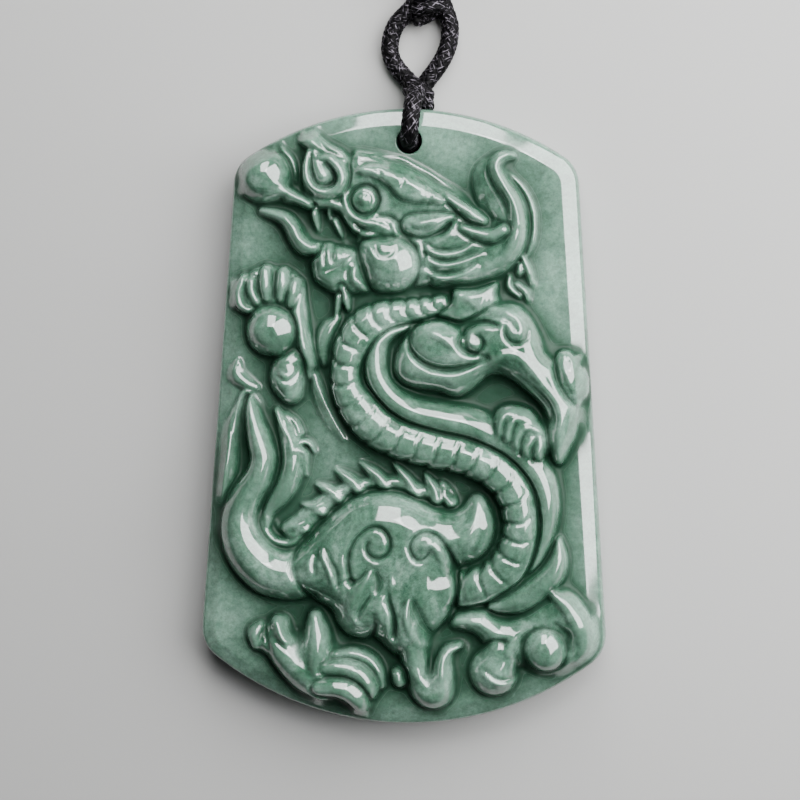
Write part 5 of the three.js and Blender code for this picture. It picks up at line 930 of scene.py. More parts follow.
def haunch_curls(s):
    """The pair of spirals cut in the haunch."""
    s.cut([[-4.6, -16.0, 0.45, 0.7], [-4.95, -14.6, 0.4, 0.75], [-4.9, -13.0, 0.33, 0.75],
           [-4.3, -11.6, 0.32, 0.75], [-3.2, -10.6, 0.32, 0.75], [-2.1, -10.35, 0.32, 0.75],
           [-1.2, -10.95, 0.32, 0.75], [-0.85, -12.0, 0.32, 0.75], [-1.2, -13.0, 0.32, 0.7],
           [-2.1, -13.45, 0.32, 0.7], [-3.0, -13.0, 0.3, 0.65], [-3.15, -12.2, 0.28, 0.55],
           [-2.8, -11.7, 0.18, 0.35]])
    s.cut([[3.0, -12.7, 0.22, 0.4], [2.5, -13.35, 0.3, 0.6], [1.8, -13.5, 0.32, 0.7],
           [1.25, -12.9, 0.32, 0.75], [1.1, -12.1, 0.32, 0.75], [1.6, -11.2, 0.32, 0.75],
           [2.6, -10.8, 0.32, 0.75], [3.8, -11.2, 0.32, 0.75], [4.7, -12.3, 0.36, 0.8],
           [5.3, -13.8, 0.42, 0.9], [5.65, -15.6, 0.46, 0.9], [5.6, -17.6, 0.42, 0.8],
           [5.0, -19.6, 0.4, 0.6], [3.8, -21.0, 0.35, 0.4]])
    s.swell([[-2.5, -12.1, 0.7, 0.15], [-2.1, -11.9, 0.7, 0.2]])
    s.swell([[-3.6, -12.0, 0.25, 0.15], [-3.3, -13.2, 0.25, 0.15], [-2.2, -14.0, 0.25, 0.2],
             [-1.0, -13.5, 0.25, 0.15]])
    s.swell([[2.2, -12.2, 0.5, 0.25], [3.2, -11.9, 0.55, 0.35], [4.1, -13.0, 0.55, 0.35],
             [4.5, -14.8, 0.5, 0.25]])
    s.swell([[0.8, -12.6, 0.22, 0.15], [1.2, -13.7, 0.25, 0.2], [2.2, -14.2, 0.2, 0.15]])


def thigh_flames(s):
    """Flame tongues that lick down from the haunch."""
    s.swell([[-8.6, -13.3, 0.14, 0.2], [-8.9, -14.2, 0.22, 0.3], [-8.75, -15.1, 0.16, 0.2]])
    s.cut([[-8.2, -13.2, 0.2, 0.2], [-8.3, -14.2, 0.34, 0.35], [-8.2, -15.2, 0.2, 0.2]])
    s.swell([[-7.55, -12.4, 0.12, 0.25], [-7.5, -13.2, 0.3, 0.4], [-7.0, -14.2, 0.36, 0.45],
             [-6.6, -15.3, 0.36, 0.4], [-6.4, -16.2, 0.25, 0.25]])
    s.cut([[-7.1, -12.7, 0.16, 0.3], [-6.6, -13.8, 0.26, 0.5], [-6.1, -14.8, 0.3, 0.55],
           [-5.95, -15.8, 0.28, 0.5], [-5.9, -16.5, 0.2, 0.25]])
    s.swell([[-5.7, -13.2, 0.12, 0.2], [-5.3, -14.5, 0.16, 0.3], [-4.9, -15.3, 0.14, 0.2]])
    s.cut([[-6.0, -16.2, 0.2, 0.2], [-5.1, -15.7, 0.28, 0.5], [-4.2, -15.7, 0.3, 0.55],
           [-3.5, -15.0, 0.26, 0.45], [-3.0, -14.3, 0.16, 0.2]])
    s.swell([[-2.8, -14.7, 0.2, 0.3], [-3.3, -15.8, 0.5, 0.4], [-4.3, -17.2, 0.9, 0.4],
             [-5.2, -18.8, 1.1, 0.25]])
    s.cut([[-2.2, -14.8, 0.5, 0.3], [-1.95, -15.8, 0.7, 0.5], [-2.1, -16.6, 0.5, 0.4]])
    s.cut([[-2.6, -16.8, 0.2, 0.3], [-3.1, -17.6, 0.28, 0.55], [-3.6, -18.4, 0.34, 0.6],
           [-3.95, -19.1, 0.3, 0.5], [-4.1, -19.7, 0.2, 0.2]])
    s.swell([[-4.5, -19.2, 0.2, 0.2], [-4.2, -19.9, 0.25, 0.3], [-3.7, -20.2, 0.2, 0.2]])
    s.swell([[-0.75, -15.2, 0.18, 0.25], [-0.6, -15.9, 0.24, 0.35], [-0.8, -16.6, 0.18, 0.2]])
    s.swell([[-1.7, -17.3, 0.5, 0.2], [-1.9, -18.4, 0.6, 0.25], [-1.6, -19.8, 0.5, 0.25]])
    s.cut([[-2.5, -19.0, 0.18, 0.2], [-2.3, -19.9, 0.26, 0.5], [-2.5, -20.8, 0.32, 0.7],
           [-2.9, -21.6, 0.32, 0.7]])
    s.cut([[-0.95, -16.9, 0.22, 0.3], [-0.85, -17.8, 0.36, 0.8], [-0.5, -18.9, 0.42, 1.0],
           [-0.4, -20.0, 0.46, 1.1], [-0.4, -21.0, 0.46, 0.9], [-0.35, -21.6, 0.3, 0.3]])
    s.swell([[-1.35, -18.0, 0.16, 0.2], [-1.0, -19.1, 0.2, 0.3], [-1.1, -20.3, 0.22, 0.35],
             [-1.05, -21.3, 0.24, 0.35], [-0.5, -21.95, 0.22, 0.3]])
    s.cut([[1.35, -17.5, 0.4, 0.3], [1.8, -18.6, 0.8, 0.5], [2.3, -19.8, 0.8, 0.5],
           [2.9, -20.9, 0.5, 0.4]])
    s.swell([[1.05, -17.35, 0.14, 0.3], [0.8, -18.4, 0.36, 0.45], [0.9, -19.6, 0.55, 0.5],
             [1.4, -20.8, 0.7, 0.5], [2.0, -21.9, 0.7, 0.35]])
    s.cut([[0.75, -17.4, 0.12, 0.2], [0.2, -18.3, 0.2, 0.35], [0.05, -19.4, 0.2, 0.3]])


def low_flames(s):
    """The hooked flame at the bottom, the flame that runs into it, and the bead beside it."""
    s.over([[5.8, -22.3, 0.4, 1.7], [4.8, -22.8, 0.7, 2.2], [4.3, -24.0, 0.95, 2.5],
            [4.2, -25.4, 1.25, 2.7], [3.5, -26.9, 1.9, 2.6], [2.5, -26.6, 1.7, 2.4],
            [1.6, -25.4, 1.1, 2.2]], 0.1, 0.35)
    s.grow([[1.2, -20.8, 0.9, 3.1], [1.2, -22.4, 1.5, 2.9], [1.5, -24.0, 1.5, 2.6],
            [2.1, -25.6, 1.3, 2.5], [2.9, -26.6, 1.2, 2.4]])
    s.swell([[4.3, -23.1, 0.25, 0.25], [4.2, -24.6, 0.35, 0.3], [4.3, -26.0, 0.3, 0.15]])
    s.cut([[3.0, -23.4, 0.25, 0.3], [2.8, -24.4, 0.4, 0.5], [2.6, -25.1, 0.35, 0.4]])
    s.over([[-0.2, -25.2, 0.8, 1.9], [-0.05, -26.0, 0.8, 1.9]], 0.1, 0.4)


def hind_leg(s):
    """Hind leg under the coils, with the ball and cloud lobes at the corner."""
    s.over([[15.6, -11.6, 0.3, 1.4], [15.6, -13.2, 0.9, 2.2], [15.0, -14.9, 1.35, 2.5],
            [13.6, -16.4, 1.55, 2.5], [11.8, -17.6, 1.45, 2.3], [10.0, -18.2, 0.9, 1.9],
            [8.9, -18.3, 0.4, 1.5]], 0.2, 0.3)
    s.mass([[5.0, -19.3], [6.6, -18.6], [8.4, -18.5], [9.2, -19.0], [10.6, -19.4],
            [12.2, -18.8], [13.6, -17.6], [14.8, -16.6], [16.2, -16.3], [17.4, -17.6],
            [18.6, -19.4], [19.0, -21.4], [18.4, -23.2], [16.6, -24.6], [14.2, -25.2],
            [12.0, -24.4], [11.2, -25.6], [8.6, -24.6], [8.3, -22.6], [7.2, -21.2],
            [5.0, -20.6]], 2.2, 2.0)
    s.grow([[15.2, -16.9, 0.9, 2.3], [16.5, -18.2, 1.5, 2.7], [17.5, -20.0, 1.6, 2.7],
            [17.9, -21.8, 1.4, 2.3], [17.5, -23.4, 0.9, 1.6]], 0.1)
    s.cut([[15.0, -16.2, 0.2, 0.25], [16.0, -16.6, 0.25, 0.35], [17.0, -17.4, 0.25, 0.35],
           [17.8, -18.5, 0.2, 0.2]])
    s.over([[9.8, -23.2, 1.7, 2.4], [9.2, -24.8, 2.4, 2.7], [9.6, -25.2, 2.1, 2.6]], 0.1, 0.4)
    s.grow([[11.3, -21.2, 0.9, 2.3], [10.7, -22.8, 1.1, 2.5]])
    s.cut([[8.4, -24.3, 0.2, 0.25], [9.4, -25.1, 0.26, 0.6], [10.4, -25.4, 0.26, 0.6],
           [11.3, -25.2, 0.2, 0.3]])
    s.swell([[8.5, -24.8, 0.2, 0.2], [9.6, -25.6, 0.3, 0.3], [10.6, -25.8, 0.3, 0.3],
             [11.4, -25.7, 0.2, 0.2]])
    s.cut([[13.2, -20.2, 0.4, 0.4], [12.1, -21.4, 0.5, 0.7], [12.0, -23.2, 0.5, 0.8],
           [12.4, -24.6, 0.4, 0.5]])
    s.cut([[15.4, -19.8, 0.5, 0.5], [16.5, -20.9, 0.6, 0.7], [16.7, -22.4, 0.5, 0.5]])
    s.over([[14.3, -22.3, 2.05, 3.1], [14.35, -22.7, 2.05, 3.1]], 0.2, 0.4)
    s.press([[6.2, -21.2], [7.6, -21.6], [8.1, -22.4], [7.6, -23.2], [6.8, -23.8],
             [6.4, -22.6]], -0.2, 0.9)


def hind_foot(s):
    """Clawed hind foot at the lower left."""
    s.over([[-14.0, -20.7, 0.5, 1.5], [-14.5, -21.5, 0.95, 1.8], [-14.4, -22.5, 0.8, 1.6]], 0.1, 0.3)
    s.mass([[-13.8, -20.6], [-12.3, -19.5], [-11.2, -19.8], [-10.6, -21.2], [-9.8, -21.0],
            [-8.9, -19.2], [-7.9, -19.0], [-7.0, -20.4], [-6.4, -22.2], [-5.4, -22.8],
            [-4.0, -22.6], [-2.4, -23.4], [-1.6, -25.2], [-1.8, -26.8], [-2.6, -27.8],
            [-3.4, -28.4], [-4.1, -28.9], [-5.2, -28.1], [-7.0, -27.6], [-9.3, -26.9],
            [-11.8, -25.2], [-13.6, -23.8], [-14.6, -22.8], [-14.4, -21.6]], 2.2, 2.4)
    s.grow([[-12.3, -20.3, 0.8, 2.2], [-11.9, -21.4, 1.0, 2.4], [-11.3, -22.3, 0.9, 2.4],
            [-10.9, -23.4, 1.2, 2.2]])
    s.grow([[-8.4, -19.7, 0.9, 2.4], [-8.3, -21.4, 1.5, 2.9], [-8.3, -23.4, 1.9, 3.0],
            [-8.2, -25.2, 2.0, 2.8], [-7.8, -26.6, 1.7, 2.5]])
    s.grow([[-12.7, -22.2, 1.2, 2.2], [-11.2, -23.7, 1.9, 2.7], [-9.4, -25.3, 2.1, 2.8],
            [-7.8, -26.5, 1.8, 2.6]], 0.1)
    s.cut([[-13.5, -20.9, 0.3, 0.4], [-13.2, -22.0, 0.35, 0.5], [-12.8, -23.0, 0.25, 0.25]])
    s.cut([[-10.4, -21.0, 0.35, 0.4], [-10.1, -22.4, 0.4, 0.3], [-9.9, -23.8, 0.4, 0.15]])
    s.over([[-6.4, -23.5, 0.6, 1.7], [-4.6, -23.3, 0.75, 1.7], [-3.0, -23.9, 0.75, 1.7],
            [-2.1, -25.2, 0.65, 1.6], [-1.9, -26.5, 0.5, 1.3]], 0.2, 0.2)
    s.over([[-7.2, -24.7, 0.7, 2.6], [-5.4, -24.6, 0.95, 2.7], [-3.8, -25.3, 1.05, 2.8],
            [-3.0, -26.5, 0.95, 2.6], [-2.9, -27.6, 0.5, 2.0]], 0.4, 0.25)
    s.over([[-7.9, -26.7, 0.9, 2.7], [-6.3, -26.7, 1.2, 2.9], [-4.9, -27.1, 1.35, 2.9],
            [-4.0, -28.1, 1.15, 2.5], [-3.9, -29.2, 0.6, 1.5]], 0.2, 0.25)
    s.swell([[-6.4, -24.1, 0.4, 0.3]])
    s.swell([[-12.1, -20.0, 0.3, 0.25], [-11.8, -21.2, 0.35, 0.3], [-11.3, -22.0, 0.35, 0.3],
             [-10.9, -21.9, 0.25, 0.2]])


def carve(s):
    """All forms from the lowest to the highest."""
    face_mass(s)
    mane(s)
    mane_locks(s)
    mane_flames(s)
    snout(s)
    brow(s)
    eye(s)
    jaws(s)
    whisker(s)
    side_fins(s)
    left_paw(s)
    tail(s)
    tail_pocket(s)
    coils(s)
    scutes(s)
    cheek(s)
    shoulder(s)
    foreleg(s)
    shoulder_curls(s)
    hand(s)
    dorsal_fin(s)
    hind_leg(s)
    haunch(s)
    haunch_curls(s)
    thigh_flames(s)
    low_flames(s)
    hind_foot(s)


def arc_piece(x, y, radius, start, end):
    """A round stretch of the outline: its length, and places with outward normals at shares."""
    def places(share):
        angle = start + (end - start) * share
        out = np.stack([np.cos(angle), np.sin(angle)], axis=-1)
        return np.array([x, y]) + radius * out, out
    return abs(end - start) * radius, places


def line_piece(first, last):
    """A straight stretch of the outline from the end of one arc to the start of the next."""
    (a, out), (b, _) = first[1](np.array(1.0)), last[1](np.array(0.0))
    def places(share):
        return a + (b - a) * share[..., None], np.broadcast_to(out, share.shape + (2,))
    return float(np.hypot(*(b - a))), places


def mirror_piece(piece):
    """The same stretch on the left side."""
    def places(share):
        place, out = piece[1](share)
        return place * np.array([-1, 1]), out * np.array([-1, 1])
    return piece[0], places


def outline_sides():
    """Foot, right, top and left side of the outline, each from mid corner to mid corner."""
    foot_y = -TABLET_HEIGHT / 2 + FOOT_ARC_RADIUS
    top_y = TABLET_HEIGHT / 2 - TOP_ARC_RADIUS
    low_x = TABLET_WIDTH / 2 - FOOT_CORNER_RADIUS
    high_x = TOP_WIDTH / 2 - TOP_CORNER_RADIUS
    low_y = foot_y - math.sqrt((FOOT_ARC_RADIUS - FOOT_CORNER_RADIUS) ** 2 - low_x ** 2)
    high_y = top_y + math.sqrt((TOP_ARC_RADIUS - TOP_CORNER_RADIUS) ** 2 - high_x ** 2)
    apart = math.hypot(high_x - low_x, high_y - low_y)
    tilt = math.atan2(high_y - low_y, high_x - low_x)
    tilt -= math.acos((FOOT_CORNER_RADIUS - TOP_CORNER_RADIUS) / apart)
    foot_turn = math.atan2(low_y - foot_y, low_x)
    top_turn = math.atan2(high_y - top_y, high_x)
    foot_mid, top_mid = (foot_turn + tilt) / 2, (top_turn + tilt) / 2
    pi = math.pi
    low = arc_piece(low_x, low_y, FOOT_CORNER_RADIUS, foot_mid, tilt)
    high = arc_piece(high_x, high_y, TOP_CORNER_RADIUS, tilt, top_mid)
    right = [low, line_piece(low, high), high]
    foot = [arc_piece(-low_x, low_y, FOOT_CORNER_RADIUS, -pi - foot_mid, -pi - foot_turn),
            arc_piece(0, foot_y, FOOT_ARC_RADIUS, -pi - foot_turn, foot_turn),
            arc_piece(low_x, low_y, FOOT_CORNER_RADIUS, foot_turn, foot_mid)]
    top = [arc_piece(-high_x, high_y, TOP_CORNER_RADIUS, pi - top_mid, pi - top_turn),
           arc_piece(0, top_y, TOP_ARC_RADIUS, pi - top_turn, top_turn),
           arc_piece(high_x, high_y, TOP_CORNER_RADIUS, top_turn, top_mid)]
    return {"foot": foot, "right": right, "top": top, "left": [mirror_piece(piece) for piece in right]}


def side_places(pieces, share, inset):
    """Places at shares of a side's length, moved in from the outline."""
    lengths = np.array([piece[0] for piece in pieces])
    starts = np.concatenate([[0], np.cumsum(lengths)])
    run = share * starts[-1]
    out = np.zeros(share.shape + (2,))
    for i, piece in enumerate(pieces):
        here = (run >= starts[i]) & ((run < starts[i + 1]) | (i == len(pieces) - 1))
        place, normal = piece[1](np.clip((run[here] - starts[i]) / lengths[i], 0, 1))
        out[here] = place - normal * inset
    return out


def front_places(columns, rows):
    """Grid of places that fills the front inside its rounded rim."""
    sides = outline_sides()
    u = np.linspace(0, 1, columns + 1)
    v = np.linspace(0, 1, rows + 1)
    foot, top = (side_places(sides[name], u, RIM_WIDTH)[None] for name in ("foot", "top"))
    left, right = (side_places(sides[name], v, RIM_WIDTH)[:, None] for name in ("left", "right"))
    u, v = u[None, :, None], v[:, None, None]
    return ((1 - v) * foot + v * top + (1 - u) * left + u * right
            - (1 - u) * (1 - v) * foot[:, :1] - u * (1 - v) * foot[:, -1:]
            - (1 - u) * v * top[:, :1] - u * v * top[:, -1:])


def border(columns, rows):
    """Grid places round the border, anticlockwise: index, side and share of the side."""
    wide = columns + 1
    out = [(i, "foot", i / columns) for i in range(columns)]
    out += [(j * wide + columns, "right", j / rows) for j in range(rows)]
    out += [(rows * wide + i, "top", i / columns) for i in range(columns, 0, -1)]
    out += [(j * wide, "left", j / rows) for j in range(rows, 0, -1)]
    return out


def edge_rings():
    """Rings from the rim down to the back: inset, height, share of the carved height kept."""
    side_top = GROUND_THICKNESS - RIM_DROP
    slope = math.tan(math.radians(RIM_ANGLE))
    edge = RIM_WIDTH - RIM_BEVEL
    rim = []
    for out in (0.1, 0.2, 0.32, 0.45, RIM_BEVEL):
        drop = slope * (out * out / (2 * RIM_TURN) if out < RIM_TURN else out - RIM_TURN / 2)
        rim.append((RIM_WIDTH - out, side_top, 1 - drop / RIM_DROP))
    kept = rim[-1][2]
    rim += [(edge * (1 - s), side_top, kept * math.sqrt(1 - s * s))
            for s in (0.3, 0.55, 0.75, 0.9, 0.97, 1.0)]
    back = [(BACK_EDGE_ROUND * s, BACK_EDGE_ROUND * (1 - float(rounded(s))), 0.0)
            for s in (0.0, 0.08, 0.3, 0.6, 1.0)]
    return rim + back


def tablet_blank(sheet, heights, columns, rows):
    """Vertices and faces of the tablet before its hole is drilled."""
    def height_at(x, y):
        relief = sheet.read(heights, x, y) * RELIEF_SCALE
        return GROUND_THICKNESS + relief
    places = front_places(columns, rows).reshape(-1, 2)
    vertices = [np.column_stack([places, height_at(places[:, 0], places[:, 1])])]
    wide = columns + 1
    i, j = np.meshgrid(np.arange(columns), np.arange(rows))
    first = (j * wide + i).ravel()
    faces = np.column_stack([first, first + 1, first + wide + 1, first + wide]).tolist()
    sides = outline_sides()
    rim = border(columns, rows)
    ring = [index for index, _, _ in rim]
    count = len(places)
    for inset, low, keep in edge_rings():
        edge = np.zeros((len(rim), 2))
        for name in sides:
            here = [k for k, (_, side, _) in enumerate(rim) if side == name]
            edge[here] = side_places(sides[name], np.array([rim[k][2] for k in here]), inset)
        top = height_at(edge[:, 0], edge[:, 1]) if keep > 0 else low
        vertices.append(np.column_stack([edge, low + (top - low) * keep + np.zeros(len(rim))]))
        after = list(range(count, count + len(rim)))
        for k in range(len(rim)):
            n = (k + 1) % len(rim)
            faces.append([ring[k], after[k], after[n], ring[n]])
        ring = after
        count += len(rim)
    vertices.append(np.zeros((1, 3)))
    for k in range(len(ring)):
        faces.append([ring[k], count, ring[(k + 1) % len(ring)]])
    return np.vstack(vertices), faces


def new_object(name, vertices, faces):
    """A mesh object from places in millimetres."""
    mesh = bpy.data.meshes.new(name)
    mesh.from_pydata([tuple(v) for v in np.array(vertices) * MM], [], faces)
    mesh.update()
    made = bpy.data.objects.new(name, mesh)
    bpy.context.scene.collection.objects.link(made)
    return made


def drill_cutter():
    """The hole, rounded out where it meets the front."""
    profile = [(HOLE_RADIUS, -1.0), (HOLE_RADIUS, GROUND_THICKNESS - HOLE_FLARE)]
    for step in range(1, 6):
        angle = step / 5 * math.pi / 2
        profile.append((HOLE_RADIUS + HOLE_FLARE * (1 - math.cos(angle)),
                        GROUND_THICKNESS - HOLE_FLARE * (1 - math.sin(angle)) + 0.002))
    profile.append((HOLE_RADIUS + HOLE_FLARE, GROUND_THICKNESS + 3.0))
    sides = 48
    turns = [k * 2 * math.pi / sides for k in range(sides)]
    vertices = [(HOLE_X + r * math.cos(turn), HOLE_Y + r * math.sin(turn), z)
                for r, z in profile for turn in turns]
    faces = end_faces(len(profile), sides) + ring_faces(len(profile), sides)
    return new_object("drill_cutter", vertices, faces)


def groove_cutter():
    """The slot in the back that the cord's back strand lies in."""
    section = [(-GROOVE_HALF_WIDTH, -1.0), (GROOVE_HALF_WIDTH, -1.0)]
    section += [(GROOVE_HALF_WIDTH * math.cos(a), GROOVE_CENTRE_Z + GROOVE_HALF_WIDTH * math.sin(a))
                for a in np.linspace(0, math.pi, 17)]
    count = len(section)
    ends = (HOLE_Y, TABLET_HEIGHT / 2 + 1.0)
    vertices = [(HOLE_X + x, y, z) for y in ends for x, z in section]
    faces = [list(range(count)), list(reversed(range(count, 2 * count)))]
    for k in range(count):
        n = (k + 1) % count
        faces.append([k, k + count, n + count, n])
    return new_object("groove_cutter", vertices, faces)


def drill(blank):
    """Cuts the hole and the groove out of the blank."""
    for cutter in (drill_cutter(), groove_cutter()):
        cut = blank.modifiers.new(cutter.name, "BOOLEAN")
        cut.operation = "DIFFERENCE"
        cut.solver = "EXACT"
        cut.object = cutter
        depsgraph = bpy.context.evaluated_depsgraph_get()
        mesh = bpy.data.meshes.new_from_object(blank.evaluated_get(depsgraph))
        blank.modifiers.clear()
        blank.data = mesh
        bpy.data.objects.remove(cutter)
    return blank


def add_value(mesh, name, values):
    """One number at each vertex for the material to read."""
    layer = mesh.attributes.new(name, "FLOAT", "POINT")
    layer.data.foreach_set("value", np.asarray(values, np.float32))


def make_tablet(sheet):
    """The carved jade tablet, with the values that its material reads at each place."""
    sheet.fill_seams(0.9, 0.6, 0.5)
    heights = sheet.softened(CREASE_SOFTNESS)
    columns, rows = TABLET_GRID
    vertices, faces = tablet_blank(sheet, heights, columns, rows)
    tablet = drill(new_object("carved_tablet", vertices, faces))
    mesh = tablet.data
    mesh.polygons.foreach_set("use_smooth", [True] * len(mesh.polygons))
    places = np.zeros(len(mesh.vertices) * 3)
    mesh.vertices.foreach_get("co", places)
    places = places.reshape(-1, 3) / MM
    # how far each place lies below or above its surroundings, near and broad: the material paints shade
    # where it is low, a highlight where it is raised, and dulls the crevices
    fine = sheet.softened(CREVICE_REACH) - heights
    broad = sheet.softened(HOLLOW_REACH) - heights
    x, y, z = places.T
    front = np.clip(z - FRONT_LEVEL, 0, 1)
    add_value(mesh, "crevice", front * sheet.read(fine, x, y))
    add_value(mesh, "hollow", front * sheet.read(broad, x, y))
    add_value(mesh, "relief", front * sheet.read(heights, x, y))
    return tablet


def braided_tube(name, points, radius, step=0.1, sides=40, ends=0.55):
    """A short braided strand through points, a little thinner at its tucked ends."""
    line = smooth(points, step)
    lengths = np.concatenate([[0.0], np.cumsum(np.linalg.norm(np.diff(line, axis=0), axis=1))])
    turns = (np.arange(sides) / sides)[None, :]
    braid = braid_height(turns, lengths[:, None])
    tuck = np.minimum(1, np.minimum(lengths, lengths[-1] - lengths) / (1.2 * radius))
    body = radius * (ends + (1 - ends) * np.sin(tuck * math.pi / 2))
    return tube_mesh(name, line, body[:, None] - BRAID_DEPTH * (1 - braid), sides)


def wrap_points(centre, reach, turns, pitch, lean, start):
    """Points of a strand wound round an axis that leans from +Y."""
    out = []
    for angle in np.arange(0.0, turns * 360 + 1, 24):
        turn = math.radians(start + angle)
        x = reach[0] * math.cos(turn)
        z = reach[1] * math.sin(turn)
        y = pitch * (angle / 360 - turns / 2) - lean * x
        out.append([centre[0] + x, centre[1] + y, max(centre[2] + z, 0.75)])
    return out


def node_material(name):
    """A new material with its node tree, its shader, and a helper that adds nodes."""
    material = bpy.data.materials.new(name)
    material.use_nodes = True
    tree = material.node_tree
    shader = tree.nodes["Principled BSDF"]
    def add(kind, **settings):
        node = tree.nodes.new(kind)
        for key, value in settings.items():
            setattr(node, key, value)
        return node
    return material, tree, shader, add


def ramp(node, stops):
    """Sets the colour stops of a ramp: place and linear colour."""
    elements = node.color_ramp.elements
    while len(elements) > len(stops):
        elements.remove(elements[-1])
    while len(elements) < len(stops):
        elements.new(1.0)
    for element, (place, colour) in zip(elements, stops):
        element.position = place
        element.color = (*colour, 1.0)


def mapped(tree, add, source, low, high, out_low=0.0, out_high=1.0):
    """A value spread from one range to another, held at the ends."""
    node = add("ShaderNodeMapRange")
    node.inputs["From Min"].default_value = low
    node.inputs["From Max"].default_value = high
    node.inputs["To Min"].default_value = out_low
    node.inputs["To Max"].default_value = out_high
    tree.links.new(source, node.inputs["Value"])
    return node.outputs["Result"]


def blended(tree, add, share, first, second, mode="MIX"):
    """Two colours mixed by a share; each is a socket or a linear colour."""
    node = add("ShaderNodeMix", data_type="RGBA", blend_type=mode)
    for socket, value in ((node.inputs[0], share), (node.inputs[6], first), (node.inputs[7], second)):
        if isinstance(value, bpy.types.NodeSocket):
            tree.links.new(value, socket)
        elif isinstance(value, (int, float)):
            socket.default_value = value
        else:
            socket.default_value = (*value, 1.0)
    return node.outputs[2]


def jade_mottling(tree, add, noise):
    """Clouds, specks and veins of the raised forms."""
    clouds = add("ShaderNodeValToRGB")
    ramp(clouds, [(0.36, JADE_DARK), (0.5, JADE_MIDDLE), (0.63, JADE_LIGHT)])
    tree.links.new(noise(4.5, 7.0, 0.66, 0.5), clouds.inputs["Fac"])
    speck = mapped(tree, add, noise(0.55, 4.0, 0.8), 0.36, 0.64, 0.66, 1.32)
    mottled = blended(tree, add, 1.0, clouds.outputs["Color"], speck, "MULTIPLY")
    veins = mapped(tree, add, noise(2.4, 3.0, 0.5, 1.2), 0.55, 0.72, 0.0, 0.35)
    return blended(tree, add, veins, mottled, JADE_DARK)


def jade_ground(tree, add, noise):
    """The lighter, hazy ground between the forms."""
    grain = mapped(tree, add, noise(0.5, 6.0, 0.85), 0.36, 0.64, 0.62, 1.35)
    haze = mapped(tree, add, noise(3.2, 6.0, 0.7, 0.5), 0.36, 0.62, 0.66, 1.2)
    ground = blended(tree, add, 1.0, JADE_LIGHT, grain, "MULTIPLY")
    return blended(tree, add, 1.0, ground, haze, "MULTIPLY")


def jade_material():
    """Polished mottled green jade, duller in its crevices, with painted shade in its crevices and hollows
    and a painted highlight on its raised edges and ridges.
    """
    material, tree, shader, add = node_material("jade")
    place = add("ShaderNodeTexCoord").outputs["Object"]
    def noise(size_mm, detail, roughness=0.55, distortion=0.0):
        node = add("ShaderNodeTexNoise")
        node.inputs["Scale"].default_value = 1.0 / (size_mm * MM)
        node.inputs["Detail"].default_value = detail
        node.inputs["Roughness"].default_value = roughness
        node.inputs["Distortion"].default_value = distortion
        tree.links.new(place, node.inputs["Vector"])
        return node.outputs["Fac"]
    def value(name):
        return add("ShaderNodeAttribute", attribute_name=name).outputs["Fac"]
    mottled = jade_mottling(tree, add, noise)
    ground = jade_ground(tree, add, noise)
    low = mapped(tree, add, value("relief"), 0.05, 0.7, 0.58, 0.0)
    shaded = blended(tree, add, low, mottled, ground)
    # painted shade: the broad hollows round the bases of the forms are darkened
    hollow = mapped(tree, add, value("hollow"), 0.02, 0.85, 0.0, 0.85)
    shaded = blended(tree, add, hollow, shaded, HOLLOW_PAINTED_SHADE)
    # painted shade: narrow crevices are darkened further
    deep = mapped(tree, add, value("crevice"), 0.02, 0.3, 0.0, 0.6)
    shaded = blended(tree, add, deep, shaded, CREVICE_PAINTED_SHADE)
    # painted highlight: raised edges and ridges are lightened
    raised = mapped(tree, add, value("crevice"), -0.3, 0.0, 0.35, 0.0)
    shaded = blended(tree, add, raised, shaded, RIDGE_PAINTED_HIGHLIGHT)
    tree.links.new(shaded, shader.inputs["Base Color"])
    dull = mapped(tree, add, value("crevice"), 0.0, 0.16, 0.075, 0.4)
    tree.links.new(dull, shader.inputs["Roughness"])
    gloss = mapped(tree, add, value("crevice"), 0.0, 0.14, 1.0, 0.1)
    tree.links.new(gloss, shader.inputs["Specular IOR Level"])
    shader.inputs["IOR"].default_value = 1.62
    shader.inputs["Subsurface Weight"].default_value = 0.3
    shader.inputs["Subsurface Radius"].default_value = (0.4, 1.0, 0.6)
    shader.inputs["Subsurface Scale"].default_value = 0.0009
    return material


